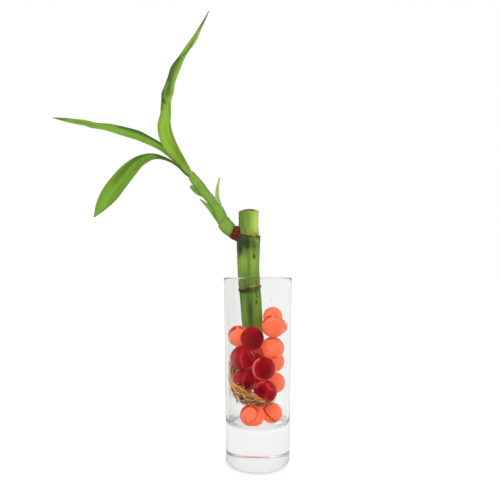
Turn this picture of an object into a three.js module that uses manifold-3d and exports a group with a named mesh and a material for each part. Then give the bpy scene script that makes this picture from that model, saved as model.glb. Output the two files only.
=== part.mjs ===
// Lucky bamboo cutting in a small glass with water-gel beads.
// Units are millimetres, +Z is up, and the origin is the centre of the glass's foot.
// -Y is the side that the plant is usually looked at from, and the shoot leans to -X.
import * as THREE from "three";
import * as BufferGeometryUtils from "three/addons/utils/BufferGeometryUtils.js";
import Module from "manifold-3d";

const wasm = await Module();
wasm.setup();

// Driving dimensions of the glass
const GLASS_HEIGHT = 102;
const FOOT_RADIUS = 17.7;
const RIM_RADIUS = 19.05;
const WALL = 1.5;
const HEEL_RADIUS = 2.2;
const BASE_THICKNESS = 21.6;
const FLOOR_CORNER = 4;
const FLOOR_DISH = 0.5;
const GLASS_SIDES = 48;

// Driving dimensions of the plant
const CANE_BOTTOM = 68;
const CANE_TOP = 141.1;
const CANE_SIDES = 20;
const CANE_ROWS = 34;
const CUT_DOME = 0.7;
const BLADE_EDGE = 0.6;
const BLADE_RIB = 0.95;
const LEAF_ROWS = 26;
const BRACT_ROWS = 10;
const BLADE_COLUMNS = 6;

// Clearance kept between pieces that touch in the real thing
const CLEARANCE = 0.3;

// Driving dimensions of the beads and the roots
const BEAD_AROUND = 12;
const BEAD_DOWN = 8;
const ROOT_COUNT = 16;
const ROOT_LANES = 3;
const ROOT_LANE = 0.9;
const ROOT_STEPS = 12;
const ROOT_ROWS = 14;
const ROOT_SIDES = 3;
const ROOT_RADIUS = 0.5;
const ROOT_SEED = 41;

// A repeatable random number from 0 to 1
function seeded(seed) {
  let state = seed;
  return () => {
    state = (state * 16807) % 2147483647;
    return state / 2147483647;
  };
}

// Smooth value at t (0 to 1) on a row of evenly spaced stations, each an array of numbers
function along(stations, t) {
  const last = stations.length - 1;
  const place = Math.min(Math.max(t, 0), 1) * last;
  const i = Math.min(Math.floor(place), last - 1);
  const f = place - i;
  const [a, b, c, d] = [i - 1, i, i + 1, i + 2].map((k) => stations[Math.min(Math.max(k, 0), last)]);
  return b.map((_, k) => {
    const slopeB = (c[k] - a[k]) / 2;
    const slopeC = (d[k] - b[k]) / 2;
    const rise = c[k] - b[k];
    return b[k] + f * (slopeB + f * (3 * rise - 2 * slopeB - slopeC + f * (slopeB + slopeC - 2 * rise)));
  });
}

// Direction of travel at t
function heading(stations, t) {
  const step = 0.004;
  const from = along(stations, Math.max(t - step, 0));
  const to = along(stations, Math.min(t + step, 1));
  return new THREE.Vector3(to[0] - from[0], to[1] - from[1], to[2] - from[2]).normalize();
}

// Closed mesh through rings of points, with a fan on each end
function skin(rings) {
  const count = rings[0].length;
  const positions = [];
  const index = [];
  rings.forEach((ring) => ring.forEach((p) => positions.push(p.x, p.y, p.z)));
  for (let i = 0; i < rings.length - 1; i += 1) {
    for (let j = 0; j < count; j += 1) {
      const a = i * count + j;
      const b = i * count + ((j + 1) % count);
      index.push(a, b, b + count, a, b + count, a + count);
    }
  }
  [0, rings.length - 1].forEach((row) => {
    const middle = new THREE.Vector3();
    rings[row].forEach((p) => middle.add(p));
    middle.divideScalar(count);
    const hub = positions.length / 3;
    positions.push(middle.x, middle.y, middle.z);
    for (let j = 0; j < count; j += 1) {
      const a = row * count + j;
      const b = row * count + ((j + 1) % count);
      index.push(...(row === 0 ? [hub, b, a] : [hub, a, b]));
    }
  });
  const geometry = new THREE.BufferGeometry();
  geometry.setAttribute("position", new THREE.Float32BufferAttribute(positions, 3));
  geometry.setIndex(index);
  return geometry;
}

// Round shape swept along stations [x, y, z, radius]
function stalk(stations, rows, sides, grow = 0, swell = () => 0) {
  const rings = [];
  let side = new THREE.Vector3(1, 0, 0);
  for (let i = 0; i <= rows; i += 1) {
    const t = i / rows;
    const [x, y, z, radius] = along(stations, t);
    const ahead = heading(stations, t);
    side = side.addScaledVector(ahead, -side.dot(ahead)).normalize();
    const over = new THREE.Vector3().crossVectors(ahead, side);
    const ring = [];
    for (let j = 0; j < sides; j += 1) {
      const turn = (2 * Math.PI * j) / sides;
      const out = new THREE.Vector3().addScaledVector(side, Math.cos(turn)).addScaledVector(over, Math.sin(turn));
      const reach = radius + grow + swell(z, turn);
      ring.push(new THREE.Vector3(x, y, z).addScaledVector(out, reach));
    }
    rings.push(ring);
  }
  return skin(rings);
}

// Leaf blade along stations [x, y, z, half width, roll in degrees, cup in radians].
// Roll 0 shows its face to -Y, and cup is half the angle of its arched section.
function blade(stations, { rows = LEAF_ROWS, grow = 0, wave = 0, waves = 0 } = {}) {
  const rings = [];
  for (let i = 0; i <= rows; i += 1) {
    const t = i / rows;
    const [x, y, z, halfWidth, roll, cup] = along(stations, t);
    const ahead = heading(stations, t);
    const front = new THREE.Vector3(0, -1, 0);
    front.addScaledVector(ahead, -front.dot(ahead)).normalize();
    const across = new THREE.Vector3().crossVectors(ahead, front);
    const angle = THREE.MathUtils.degToRad(roll);
    const side = across.clone().multiplyScalar(Math.cos(angle)).addScaledVector(front, Math.sin(angle));
    const face = front.clone().multiplyScalar(Math.cos(angle)).addScaledVector(across, -Math.sin(angle));
    const bend = Math.abs(cup) < 0.05 ? 0.05 : cup;
    const half = halfWidth + grow;
    const point = (u, sign) => {
      const thick = BLADE_EDGE + (BLADE_RIB - BLADE_EDGE) * (1 - u * u) + 2 * grow;
      const ripple = wave * u * u * Math.sin(2 * Math.PI * waves * t) * Math.sin(Math.PI * t);
      const sideways = (half * Math.sin(bend * u)) / bend - (sign * thick * Math.sin(bend * u)) / 2;
      const upward = (half * (1 - Math.cos(bend * u))) / bend + ripple + (sign * thick * Math.cos(bend * u)) / 2;
      return new THREE.Vector3(x, y, z).addScaledVector(side, sideways).addScaledVector(face, upward);
    };
    const ring = [];
    for (let j = 0; j <= BLADE_COLUMNS; j += 1) {
      ring.push(point((2 * j) / BLADE_COLUMNS - 1, -1));
    }
    for (let j = BLADE_COLUMNS; j >= 0; j -= 1) {
      ring.push(point((2 * j) / BLADE_COLUMNS - 1, 1));
    }
    rings.push(ring.reverse());
  }
  return bladeSkin(rings);
}

// Blade mesh whose two faces are split along the same diagonals, with strips on both ends
function bladeSkin(rings) {
  const count = rings[0].length;
  const width = count / 2;
  const positions = [];
  const index = [];
  rings.forEach((ring) => ring.forEach((p) => positions.push(p.x, p.y, p.z)));
  for (let i = 0; i < rings.length - 1; i += 1) {
    for (let j = 0; j < count; j += 1) {
      const a = i * count + j;
      const b = i * count + ((j + 1) % count);
      const flip = j < width;
      const pair = flip ? [a, b, b + count, a, b + count, a + count] : [a, b, a + count, b, b + count, a + count];
      index.push(...pair);
    }
  }
  [0, rings.length - 1].forEach((row) => {
    for (let j = 0; j < width - 1; j += 1) {
      const a = row * count + j;
      const b = a + 1;
      const c = row * count + (count - 2 - j);
      const d = c + 1;
      index.push(...(row === 0 ? [a, c, b, a, d, c] : [a, b, c, a, c, d]));
    }
  });
  const geometry = new THREE.BufferGeometry();
  geometry.setAttribute("position", new THREE.Float32BufferAttribute(positions, 3));
  geometry.setIndex(index);
  return geometry;
}

// Solid for joining and cutting, turned right side out
function solid(geometry) {
  const plain = geometry.clone();
  plain.deleteAttribute("normal");
  plain.deleteAttribute("uv");
  const merged = BufferGeometryUtils.mergeVertices(plain, 1e-4);
  const build = (triVerts) =>
    new wasm.Manifold(new wasm.Mesh({ numProp: 3, vertProperties: merged.attributes.position.array, triVerts }));
  const order = Uint32Array.from(merged.index.array);
  const made = build(order);
  if (made.volume() > 0) {
    return made;
  }
  for (let i = 0; i < order.length; i += 3) {
    [order[i], order[i + 1]] = [order[i + 1], order[i]];
  }
  return build(order);
}

// Largest body of a solid, as a mesh geometry
function toGeometry(shape) {
  const bodies = shape.decompose();
  const largest = bodies.reduce((best, body) => (body.volume() > best.volume() ? body : best));
  const mesh = largest.getMesh();
  const geometry = new THREE.BufferGeometry();
  geometry.setAttribute("position", new THREE.Float32BufferAttribute(mesh.vertProperties, 3));
  geometry.setIndex([...mesh.triVerts]);
  return geometry;
}

function cut(geometry, ...tools) {
  let shape = solid(geometry);
  tools.forEach((tool) => {
    shape = shape.subtract(solid(tool));
  });
  return toGeometry(shape);
}

// Materials
function finish(color, roughness, metalness = 0) {
  return new THREE.MeshStandardMaterial({ color, roughness, metalness });
}

const glassFinish = finish(0xe6eaea, 0.05);
glassFinish.transparent = true;
glassFinish.opacity = 0.3;

const plant = new THREE.Group();

function add(name, geometry, material) {
  geometry.computeVertexNormals();
  const mesh = new THREE.Mesh(geometry, material);
  mesh.name = name;
  plant.add(mesh);
}

// Outer and inner radius of the glass at a height
function outerRadius(z) {
  return FOOT_RADIUS + ((RIM_RADIUS - FOOT_RADIUS) * z) / GLASS_HEIGHT;
}

function innerRadius(z) {
  return outerRadius(z) - WALL;
}

// Glass: a tall tapered tumbler with a thick solid base and a rounded lip
function glassVase() {
  const profile = [new THREE.Vector2(0, 0)];
  const arc = (centreR, centreZ, radius, from, to, steps) => {
    for (let i = 0; i <= steps; i += 1) {
      const angle = THREE.MathUtils.degToRad(from + ((to - from) * i) / steps);
      profile.push(new THREE.Vector2(centreR + radius * Math.cos(angle), centreZ + radius * Math.sin(angle)));
    }
  };
  arc(FOOT_RADIUS - HEEL_RADIUS, HEEL_RADIUS, HEEL_RADIUS, -90, 0, 5);
  const lip = WALL / 2;
  arc(RIM_RADIUS - lip, GLASS_HEIGHT - lip, lip, 0, 180, 8);
  const cornerZ = BASE_THICKNESS + FLOOR_CORNER;
  arc(innerRadius(cornerZ) - FLOOR_CORNER, cornerZ, FLOOR_CORNER, 0, -80, 5);
  profile.push(new THREE.Vector2(0, BASE_THICKNESS - FLOOR_DISH));
  const geometry = new THREE.LatheGeometry(profile, GLASS_SIDES);
  geometry.rotateX(Math.PI / 2);
  return toGeometry(solid(geometry));
}

// Cane: a thick cut stalk with two raised leaf-scar rings, leaning on the back of the glass
const caneLine = [
  [-2.5, 8.3, CANE_BOTTOM, 5.9],
  [-3.2, 7.8, 77.7, 6.1],
  [-4.0, 7.2, 89.9, 6.3],
  [-4.8, 6.8, 98.5, 6.3],
  [-5.3, 6.2, 107, 6.25],
  [-5.3, 5.6, 117, 6.55],
  [-5.3, 5.2, 124.6, 6.6],
  [-5.2, 5.1, 131.8, 5.7],
  [-5.2, 5, CANE_TOP - CUT_DOME, 5.75],
];

// Each ring: its height, how far it dips towards the front, how far it stands out and its width
const caneRings = [
  { height: 126.6, dip: 0.9, stand: 0.7, width: 1.1 },
  { height: 96.6, dip: -0.5, stand: 0.6, width: 1.3 },
];

function ringSwell(z, turn) {
  return caneRings.reduce((sum, ring) => {
    const middle = ring.height + ring.dip * Math.sin(turn);
    return sum + ring.stand * Math.exp(-(((z - middle) / ring.width) ** 2));
  }, 0);
}

function cane(grow = 0) {
  const geometry = stalk(caneLine, CANE_ROWS, CANE_SIDES, grow, ringSwell);
  const position = geometry.attributes.position;
  position.setZ(position.count - 1, CANE_TOP + grow);
  position.setZ(position.count - 2, CANE_BOTTOM - grow);
  return geometry;
}

// Side shoot: stations are [x, y, z, radius]
const collarLine = [
  [-8.6, 5, 127.0, 4.7],
  [-11.6, 5, 127.5, 4.45],
  [-13.4, 5, 128.2, 4.1],
  [-15.2, 5, 129.0, 3.8],
];

const stemLine = [
  [-16, 5, 129.4, 2.9],
  [-18.6, 5, 132.2, 3.0],
  [-20.8, 4.8, 136.4, 3.0],
  [-23.7, 4.3, 142.4, 2.7],
  [-28.0, 3.6, 148, 2.6],
  [-32.9, 2.8, 153.6, 2.8],
  [-36.1, 2.2, 157.8, 2.2],
  [-37.4, 2, 159.6, 1.9],
];

const lowerSheathLine = [
  [-15.5, 5, 129.6, 3.9],
  [-17.1, 5, 130.9, 4.15],
  [-18.8, 5, 132.9, 4.0],
  [-19.9, 4.9, 134.8, 3.8],
];

const upperSheathLine = [
  [-18.6, 5, 132.4, 3.1],
  [-20.6, 4.8, 136.2, 3.4],
  [-21.9, 4.6, 139.4, 3.3],
  [-22.8, 4.4, 141.8, 3.0],
];

function shoot(grow = 0) {
  const stem = solid(stalk(stemLine, 18, 14, grow));
  const lower = solid(stalk(lowerSheathLine, 8, 14, grow));
  const upper = solid(stalk(upperSheathLine, 8, 14, grow));
  return toGeometry(stem.add(lower).add(upper));
}

// Blades: stations are [x, y, z, half width, roll in degrees, cup in radians]
const bractRight = [
  [-20.9, 3.4, 138.2, 2.2, 12, 1.3],
  [-21.6, 3.0, 142.8, 2.1, 12, 1.3],
  [-22.6, 2.9, 147.2, 1.6, 14, 1.2],
  [-22.7, 2.8, 152.2, 1.1, 16, 1.0],
  [-21.7, 2.8, 158.7, 0.35, 18, 0.6],
];

const bractLeft = [
  [-22.6, 3.6, 134.4, 1.6, -30, 1.0],
  [-25.0, 3.4, 138.0, 1.9, -30, 1.0],
  [-28.0, 3.0, 142.1, 1.5, -28, 0.9],
  [-32.6, 2.6, 146.4, 0.35, -25, 0.6],
];

const bractStub = [
  [-31.0, 3.4, 148.5, 0.8, -15, 0.7],
  [-34.4, 2.8, 150.4, 1.5, -15, 0.7],
  [-38.0, 2.2, 153.9, 1.1, -15, 0.6],
];

const leafUpright = [
  [-37.9, 1.9, 160.0, 1.9, 0, 1.0],
  [-42.6, 1.4, 167.6, 2.7, 10, 0.9],
  [-47.5, 0.8, 174.2, 4.0, 14, 0.7],
  [-50.6, 0.2, 180.5, 4.5, 15, 0.6],
  [-51.4, -0.3, 186.7, 4.8, 20, 0.8],
  [-50.1, -0.5, 193.1, 5.4, 42, 1.1],
  [-50.0, 0, 199.7, 5.3, 44, 1.1],
  [-49.4, 0.8, 205, 5.5, 38, 0.8],
  [-48.4, 1.8, 211, 4.9, 38, 0.7],
  [-46.0, 3.5, 220.8, 4.8, 36, 0.7],
  [-41.9, 5.2, 229.5, 3.9, 46, 0.7],
  [-36.3, 6.8, 239, 2.45, 30, 0.6],
  [-33.3, 7.8, 246.3, 1.45, 30, 0.5],
  [-28.2, 9, 257.3, 0.35, 30, 0.5],
];

const leafLeft = [
  [-39.4, 4.2, 161.6, 1.6, -35, 1.1],
  [-46.8, 5.2, 168.8, 2.6, -38, 1.0],
  [-56.1, 6.4, 176.6, 3.6, -42, 0.9],
  [-66, 7.6, 181.6, 4.5, -42, 0.8],
  [-76, 9, 185.3, 5.0, -42, 0.7],
  [-87, 10.6, 189.2, 4.7, -45, 0.7],
  [-97.1, 12, 191.4, 3.75, -46, 0.6],
  [-106.3, 13, 193.7, 2.9, -42, 0.5],
  [-114.4, 13.8, 195.8, 2.1, -40, 0.5],
  [-121.7, 14.4, 197.4, 0.35, -35, 0.4],
];

const leafDrooping = [
  [-40.7, 0.2, 160.8, 1.5, 72, 0.8],
  [-45.0, -0.8, 165.1, 1.8, 76, 0.7],
  [-51.4, -2.2, 168.5, 2.5, 81, 0.5],
  [-57.6, -4.0, 169.3, 3.3, 77, 0.5],
  [-63.9, -6.2, 166.4, 3.7, 61, 0.5],
  [-69.5, -8.3, 160.4, 4.2, 37, 0.5],
  [-74.4, -10.2, 153.3, 4.5, 22, 0.5],
  [-78.7, -11.8, 146.3, 4.5, 16, 0.5],
  [-82.7, -12.9, 140.1, 3.1, 12, 0.5],
  [-86.4, -13.8, 133.9, 0.35, 10, 0.4],
];

// Beads: [x, y, z, radius], from the top down, before they settle against each other.
// They are swollen gel balls of slightly uneven size, pushed to the wall by the roots.
const beadPlaces = [
  [8.84, 5.0, 79.72, 5.61],
  [8.25, -6.46, 75.73, 6.15],
  [-3.09, -10.21, 69.66, 6.1],
  [-10.97, -0.48, 69.6, 5.79],
  [7.97, -3.75, 63.23, 6.28],
  [0.66, 11.02, 59.81, 5.61],
  [-8.18, -5.93, 58.52, 6.52],
  [9.84, 4.57, 54.3, 5.72],
  [-0.45, 1.74, 54.86, 4.62],
  [2.96, -10.08, 53.45, 6.05],
  [-7.34, -5.25, 45.44, 6.23],
  [-2.44, 6.7, 44.25, 6.38],
  [9.83, 0.51, 43.35, 5.61],
  [3.79, -9.61, 41.03, 6.06],
  [-3.03, -9.41, 28.28, 6.33],
  [7.64, -3.42, 27.66, 5.57],
  [1.58, 6.43, 27.68, 5.64],
];

// How far the second bead bulges where it is squeezed against the glass, and which way
const BULGE = 2.4;
const bulgeWay = new THREE.Vector3(0.9, 0.42, -0.1).normalize();

// Moves the beads apart until none touches another, the cane or the glass
function settle(beads) {
  const apart = CLEARANCE + 0.05;
  for (let round = 0; round < 400; round += 1) {
    beads.forEach((bead, i) => {
      beads.slice(i + 1).forEach((other) => {
        const gap = new THREE.Vector3(other[0] - bead[0], other[1] - bead[1], other[2] - bead[2]);
        const short = bead[3] + other[3] + apart - gap.length();
        if (short > 0) {
          gap.setLength(short / 2);
          [0, 1, 2].forEach((k) => {
            bead[k] -= gap.getComponent(k);
            other[k] += gap.getComponent(k);
          });
        }
      });
    });
    beads.forEach((bead) => {
      keepFromCane(bead, bead[3] + apart);
      keepInGlass(bead, bead[3] + apart);
    });
  }
  return beads;
}

// Pushes a point sideways out of the cane
function keepFromCane(point, distance) {
  if (point[2] + distance < CANE_BOTTOM) {
    return;
  }
  const share = (point[2] - CANE_BOTTOM) / (CANE_TOP - CANE_BOTTOM);
  const [x, y, , radius] = along(caneLine, share);
  const away = Math.hypot(point[0] - x, point[1] - y);
  const drop = Math.max(CANE_BOTTOM - point[2], 0);
  const need = radius + Math.sqrt(Math.max(distance ** 2 - drop ** 2, 0));
  if (away < need) {
    point[0] = x + ((point[0] - x) * need) / away;
    point[1] = y + ((point[1] - y) * need) / away;
  }
}

// Keeps a point clear of the glass's wall and floor
function keepInGlass(point, distance) {
  const lowest = BASE_THICKNESS + distance;
  point[2] = Math.max(point[2], lowest);
  const limit = innerRadius(point[2]) - distance - cornerInset(point[2], distance);
  const reach = Math.hypot(point[0], point[1]);
  if (reach > limit) {
    point[0] *= limit / reach;
    point[1] *= limit / reach;
  }
}

// Extra room that the rounded corner of the floor takes near the bottom
function cornerInset(z, distance) {
  const above = z - BASE_THICKNESS;
  if (above >= FLOOR_CORNER || distance >= FLOOR_CORNER) {
    return 0;
  }
  const room = FLOOR_CORNER - distance;
  const drop = FLOOR_CORNER - above;
  return room - Math.sqrt(Math.max(room ** 2 - drop ** 2, 0));
}

const beads = settle(beadPlaces);

function beadGeometry([x, y, z, radius], bulged, grow = 0) {
  const geometry = new THREE.SphereGeometry(radius + grow, BEAD_AROUND, BEAD_DOWN);
  geometry.rotateX(Math.PI / 2);
  if (bulged) {
    const position = geometry.attributes.position;
    const point = new THREE.Vector3();
    for (let i = 0; i < position.count; i += 1) {
      point.fromBufferAttribute(position, i);
      const facing = Math.max(point.clone().normalize().dot(bulgeWay), 0);
      point.setLength(point.length() + BULGE * facing ** 8);
      position.setXYZ(i, point.x, point.y, point.z);
    }
  }
  geometry.translate(x, y, z);
  return geometry;
}

const BULGED_BEAD = 1;

// Roots: thin rootlets from a callus under the cane, led by a rule round the back and the left of
// the glass, down between the beads and across under them to the front
function rootPath(random, lane) {
  const startTurn = random() * 2 * Math.PI;
  const from = 100 + 50 * random();
  const to = 200 + 112 * random();
  const lift = 6.5 * random();
  const spread = 11.5 + 3.8 * random();
  const points = [];
  for (let i = 0; i <= ROOT_STEPS; i += 1) {
    const t = i / ROOT_STEPS;
    const degrees = from + (to - from) * t ** 1.3;
    const turn = THREE.MathUtils.degToRad(degrees);
    const reach = spread * (1 - 0.35 * Math.max(t - 0.7, 0)) + 0.8 * Math.sin(9 * t + startTurn);
    const out = [reach * Math.cos(turn), reach * Math.sin(turn)];
    const leave = Math.min(t * 4, 1);
    const lowest = 35.8 + 6 * (Math.max(270 - degrees, 0) / 90) ** 2 + lift;
    const z = CANE_BOTTOM - 1 + (Math.min(lowest, 64) - CANE_BOTTOM + 1) * Math.min(t * 2.2, 1);
    const near = [-2.5 + 3.6 * Math.cos(startTurn), 8.3 + 3.6 * Math.sin(startTurn)];
    points.push([
      near[0] * (1 - leave) + out[0] * leave,
      near[1] * (1 - leave) + out[1] * leave,
      z,
      ROOT_RADIUS * (1 - 0.4 * t),
    ]);
  }
  return clearOfBeads(points, lane * ROOT_LANE);
}

function clearOfBeads(points, layer) {
  for (let round = 0; round < 60; round += 1) {
    points.slice(1).forEach((point) => {
      beads.forEach((bead, number) => {
        const need = bead[3] + point[3] + CLEARANCE + 0.25 + layer + (number === BULGED_BEAD ? BULGE : 0);
        const away = Math.hypot(point[0] - bead[0], point[1] - bead[1], point[2] - bead[2]);
        if (away < need) {
          [0, 1, 2].forEach((k) => {
            point[k] = bead[k] + ((point[k] - bead[k]) * need) / away;
          });
        }
      });
      keepFromCane(point, point[3] + CLEARANCE + 0.1);
      keepInGlass(point, point[3] + CLEARANCE + 0.15);
    });
  }
  return points;
}

function roots() {
  const random = seeded(ROOT_SEED);
  const callusLine = [
    [-2.5, 8.3, CANE_BOTTOM - CLEARANCE, 5.2],
    [-2.5, 8.3, CANE_BOTTOM - 0.9, 5.4],
    [-2.5, 8.3, CANE_BOTTOM - 1.6, 4.6],
  ];
  let shape = solid(stalk(callusLine, 3, 14));
  for (let i = 0; i < ROOT_COUNT; i += 1) {
    shape = shape.add(solid(stalk(rootPath(random, i % ROOT_LANES), ROOT_ROWS, ROOT_SIDES)));
  }
  beads.forEach((bead, number) => {
    shape = shape.subtract(solid(beadGeometry(bead, number === BULGED_BEAD, CLEARANCE)));
  });
  return toGeometry(shape.subtract(solid(cane(CLEARANCE))));
}

// Assembly
add("glass_vase", glassVase(), glassFinish);
add("cane", toGeometry(solid(cane())), finish(0x6f9a38, 0.5));
add("shoot_collar", cut(stalk(collarLine, 8, 16), cane(CLEARANCE)), finish(0x5e1f16, 0.7));
const collarRoom = stalk(collarLine, 8, 16, CLEARANCE);
add("shoot_stem", cut(shoot(), collarRoom), finish(0x6d9c3a, 0.45));
const shootRoom = shoot(CLEARANCE);
add("bract_right", cut(blade(bractRight, { rows: BRACT_ROWS }), shootRoom), finish(0xa4bf74, 0.5));
add("bract_left", cut(blade(bractLeft, { rows: BRACT_ROWS }), shootRoom), finish(0x7fa650, 0.5));
add("bract_stub", cut(blade(bractStub, { rows: BRACT_ROWS }), shootRoom), finish(0x86ad45, 0.5));
add("leaf_upright", cut(blade(leafUpright), shootRoom), finish(0x7ab02f, 0.42));
const uprightRoom = blade(leafUpright, { grow: CLEARANCE });
add("leaf_left", cut(blade(leafLeft, { wave: 0.5, waves: 3 }), shootRoom, uprightRoom), finish(0x6fa02c, 0.42));
add("leaf_drooping", cut(blade(leafDrooping), shootRoom, uprightRoom), finish(0x5f9629, 0.42));
add("roots", roots(), finish(0xa98c4a, 0.8));
beads.forEach((bead, i) => {
  const name = `bead_${String(i + 1).padStart(2, "0")}`;
  add(name, beadGeometry(bead, i === BULGED_BEAD), finish(0xd23a2a, 0.08));
});

export default plant;
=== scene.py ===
"""Lucky bamboo cutting in a small glass of water-gel beads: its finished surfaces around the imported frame."""

import math
import random

import bmesh
import bpy
import numpy as np
from bpy.props import FloatProperty, FloatVectorProperty, IntProperty, PointerProperty
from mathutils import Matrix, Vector, noise


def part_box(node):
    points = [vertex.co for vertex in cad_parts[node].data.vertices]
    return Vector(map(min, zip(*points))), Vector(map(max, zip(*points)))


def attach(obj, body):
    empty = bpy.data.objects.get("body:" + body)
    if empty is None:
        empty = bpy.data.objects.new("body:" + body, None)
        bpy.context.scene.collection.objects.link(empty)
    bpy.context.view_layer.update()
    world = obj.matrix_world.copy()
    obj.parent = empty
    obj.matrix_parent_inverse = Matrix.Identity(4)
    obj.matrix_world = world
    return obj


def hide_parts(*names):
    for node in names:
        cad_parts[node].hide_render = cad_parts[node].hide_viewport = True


bl_info = {
    "name": "Lucky Bamboo",
    "version": (1, 0, 0),
    "blender": (4, 5, 0),
    "location": "View3D > Sidebar > Lucky Bamboo",
    "description": "Builds a lucky bamboo cutting in a glass of gel beads around its frame",
    "category": "Add Mesh",
}

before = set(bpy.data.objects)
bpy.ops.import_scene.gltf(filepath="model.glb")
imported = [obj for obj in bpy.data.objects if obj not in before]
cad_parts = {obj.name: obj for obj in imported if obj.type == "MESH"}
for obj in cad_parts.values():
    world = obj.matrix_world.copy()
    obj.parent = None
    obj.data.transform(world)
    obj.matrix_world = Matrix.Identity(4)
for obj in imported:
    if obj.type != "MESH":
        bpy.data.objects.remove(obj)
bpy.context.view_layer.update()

MM = 0.001
TURN = 2 * math.pi
FRONT = -math.pi / 2
BODY = "root"


# Colours

def srgb(red, green, blue):
    """A colour given as it looks on a screen, 0 to 255, as linear numbers."""
    def linear(value):
        share = value / 255
        return share / 12.92 if share <= 0.04045 else ((share + 0.055) / 1.055) ** 2.4
    return (linear(red), linear(green), linear(blue))


def colour_property(name, description, default):
    return FloatVectorProperty(name=name, description=description, default=default, subtype="COLOR",
                               size=3, min=0, max=1)


def length_property(name, description, default):
    return FloatProperty(name=name, description=description, default=default, unit="LENGTH", min=0)


# Settings that a user would change

class GlassSettings(bpy.types.PropertyGroup):
    """Sizes of the glass vase"""
    wall: length_property("Wall", "Thickness of the wall", 1.5 * MM)
    heel: length_property("Heel", "Radius of the rounded lower edge", 2.2 * MM)
    foot_radius: length_property("Foot radius", "Radius of the glass at its foot", 17.7 * MM)
    base: length_property("Base", "Height of the floor above the foot", 21.6 * MM)
    floor_corner: length_property("Floor corner", "Radius where the floor meets the wall", 4 * MM)
    recess: length_property("Recess", "Depth of the hollow under the foot", 0.5 * MM)
    tint: colour_property("Tint", "Colour of the glass", (0.95, 0.955, 0.95))


class CaneSettings(bpy.types.PropertyGroup):
    """Colours of the cane and its rings"""
    green: colour_property("Green", "Main green of the cane", srgb(100, 138, 40))
    deep: colour_property("Deep green", "Streaks and the shaded patch under the ring", srgb(34, 56, 16))
    yellow: colour_property("Yellow", "Sunny side of the top length", srgb(168, 196, 74))
    # Young green is painted light: the brighter green of the lit lower right side of the cane.
    young: colour_property("Young green", "Lower right side inside the glass", srgb(92, 168, 30))
    brown: colour_property("Brown", "Rings, scars and dried skin", srgb(64, 28, 16))
    dry: colour_property("Dry", "Dried cut on the top", srgb(142, 118, 100))


class LeafSettings(bpy.types.PropertyGroup):
    """Colours and thickness of the leaves and bracts"""
    bright: colour_property("Bright", "Young leaf tissue in the light", srgb(136, 178, 48))
    middle: colour_property("Middle", "Main leaf green", srgb(100, 140, 32))
    shade: colour_property("Shade", "Dark green along the edges", srgb(40, 74, 12))
    pale: colour_property("Pale", "Bracts, sheath rims and veins", srgb(176, 200, 118))
    tip: colour_property("Tip", "Dried tips", srgb(98, 102, 46))
    thickness: length_property("Thickness", "Thickness of a blade at its rib", 0.62 * MM)


class BeadSettings(bpy.types.PropertyGroup):
    """Colours and make of the gel beads"""
    orange: colour_property("Orange gel", "Colour of a pale bead", srgb(255, 130, 88))
    crimson: colour_property("Crimson gel", "Colour of a dark bead", srgb(178, 0, 26))
    # Crease and core also colour the painted shade along the beads' outlines.
    crease: colour_property("Crease", "Thin dark folds in the skin of a bead", srgb(140, 10, 10))
    core: colour_property("Core", "Less swollen middle of a dark bead", srgb(64, 0, 2))
    bulge: length_property("Bulge", "How far the squeezed bead stands out", 2.4 * MM)
    uneven: length_property("Unevenness", "How far a bead departs from a true ball", 0.10 * MM)
    seed: IntProperty(name="Seed", description="Draw of the unevenness", default=7)


class RootSettings(bpy.types.PropertyGroup):
    """Number, size and colour of the root fibres"""
    fibres: IntProperty(name="Fibres", description="Long fibres in the root ball", default=110)
    whiskers: IntProperty(name="Whiskers", description="Short side fibres", default=320)
    radius: length_property("Radius", "Radius of a long fibre at its start", 0.42 * MM)
    seed: IntProperty(name="Seed", description="Draw of the paths", default=11)
    straw: colour_property("Straw", "Pale fibres", srgb(255, 200, 112))
    # Olive and dark also serve as painted shade at the bottom of the root ball.
    olive: colour_property("Olive", "Older fibres", srgb(210, 130, 54))
    dark: colour_property("Dark", "Oldest fibres", srgb(60, 20, 6))


class StageSettings(bpy.types.PropertyGroup):
    """Camera and studio"""
    distance: length_property("Distance", "Camera to the axis of the glass", 230.7 * MM)
    eye_height: length_property("Eye height", "Camera above the floor", 100.2 * MM)
    aside: FloatProperty(name="Aside", description="Camera to the left of the glass", default=4.34 * MM,
                         unit="LENGTH")
    lens: FloatProperty(name="Lens", description="Focal length in millimetres", default=29.66)
    shift: FloatProperty(name="Shift", description="Vertical shift of the frame", default=0.062)
    sky: FloatProperty(name="Sky", description="Strength of the white surround", default=1.0)
    key: FloatProperty(name="Key", description="Strength of the main light", default=0.8)
    fill: FloatProperty(name="Fill", description="Strength of the light from the right", default=0.3)
    top: FloatProperty(name="Top", description="Strength of the light from above", default=0.35)


# Shader expressions

class Value:
    """A socket that takes part in Python sums by adding its own Math nodes."""

    def __init__(self, paint, socket):
        self.paint = paint
        self.socket = socket

    def maths(self, operation, *values):
        return self.paint.node("ShaderNodeMath", {"operation": operation}, dict(enumerate(values)))

    def __add__(self, other):
        return self.maths("ADD", self, other)

    def __radd__(self, other):
        return self.maths("ADD", other, self)

    def __sub__(self, other):
        return self.maths("SUBTRACT", self, other)

    def __rsub__(self, other):
        return self.maths("SUBTRACT", other, self)

    def __mul__(self, other):
        return self.maths("MULTIPLY", self, other)

    def __rmul__(self, other):
        return self.maths("MULTIPLY", other, self)

    def __abs__(self):
        return self.maths("ABSOLUTE", self)

    def sine(self):
        return self.maths("SINE", self)

    def clamp(self):
        return self.paint.node("ShaderNodeClamp", {}, {0: self})

    def above(self, low, high):
        """0 below low, 1 over high, with a smooth rise between."""
        values = {"Value": self, "From Min": low, "From Max": high}
        return self.paint.node("ShaderNodeMapRange", {"interpolation_type": "SMOOTHSTEP"}, values)


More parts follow.
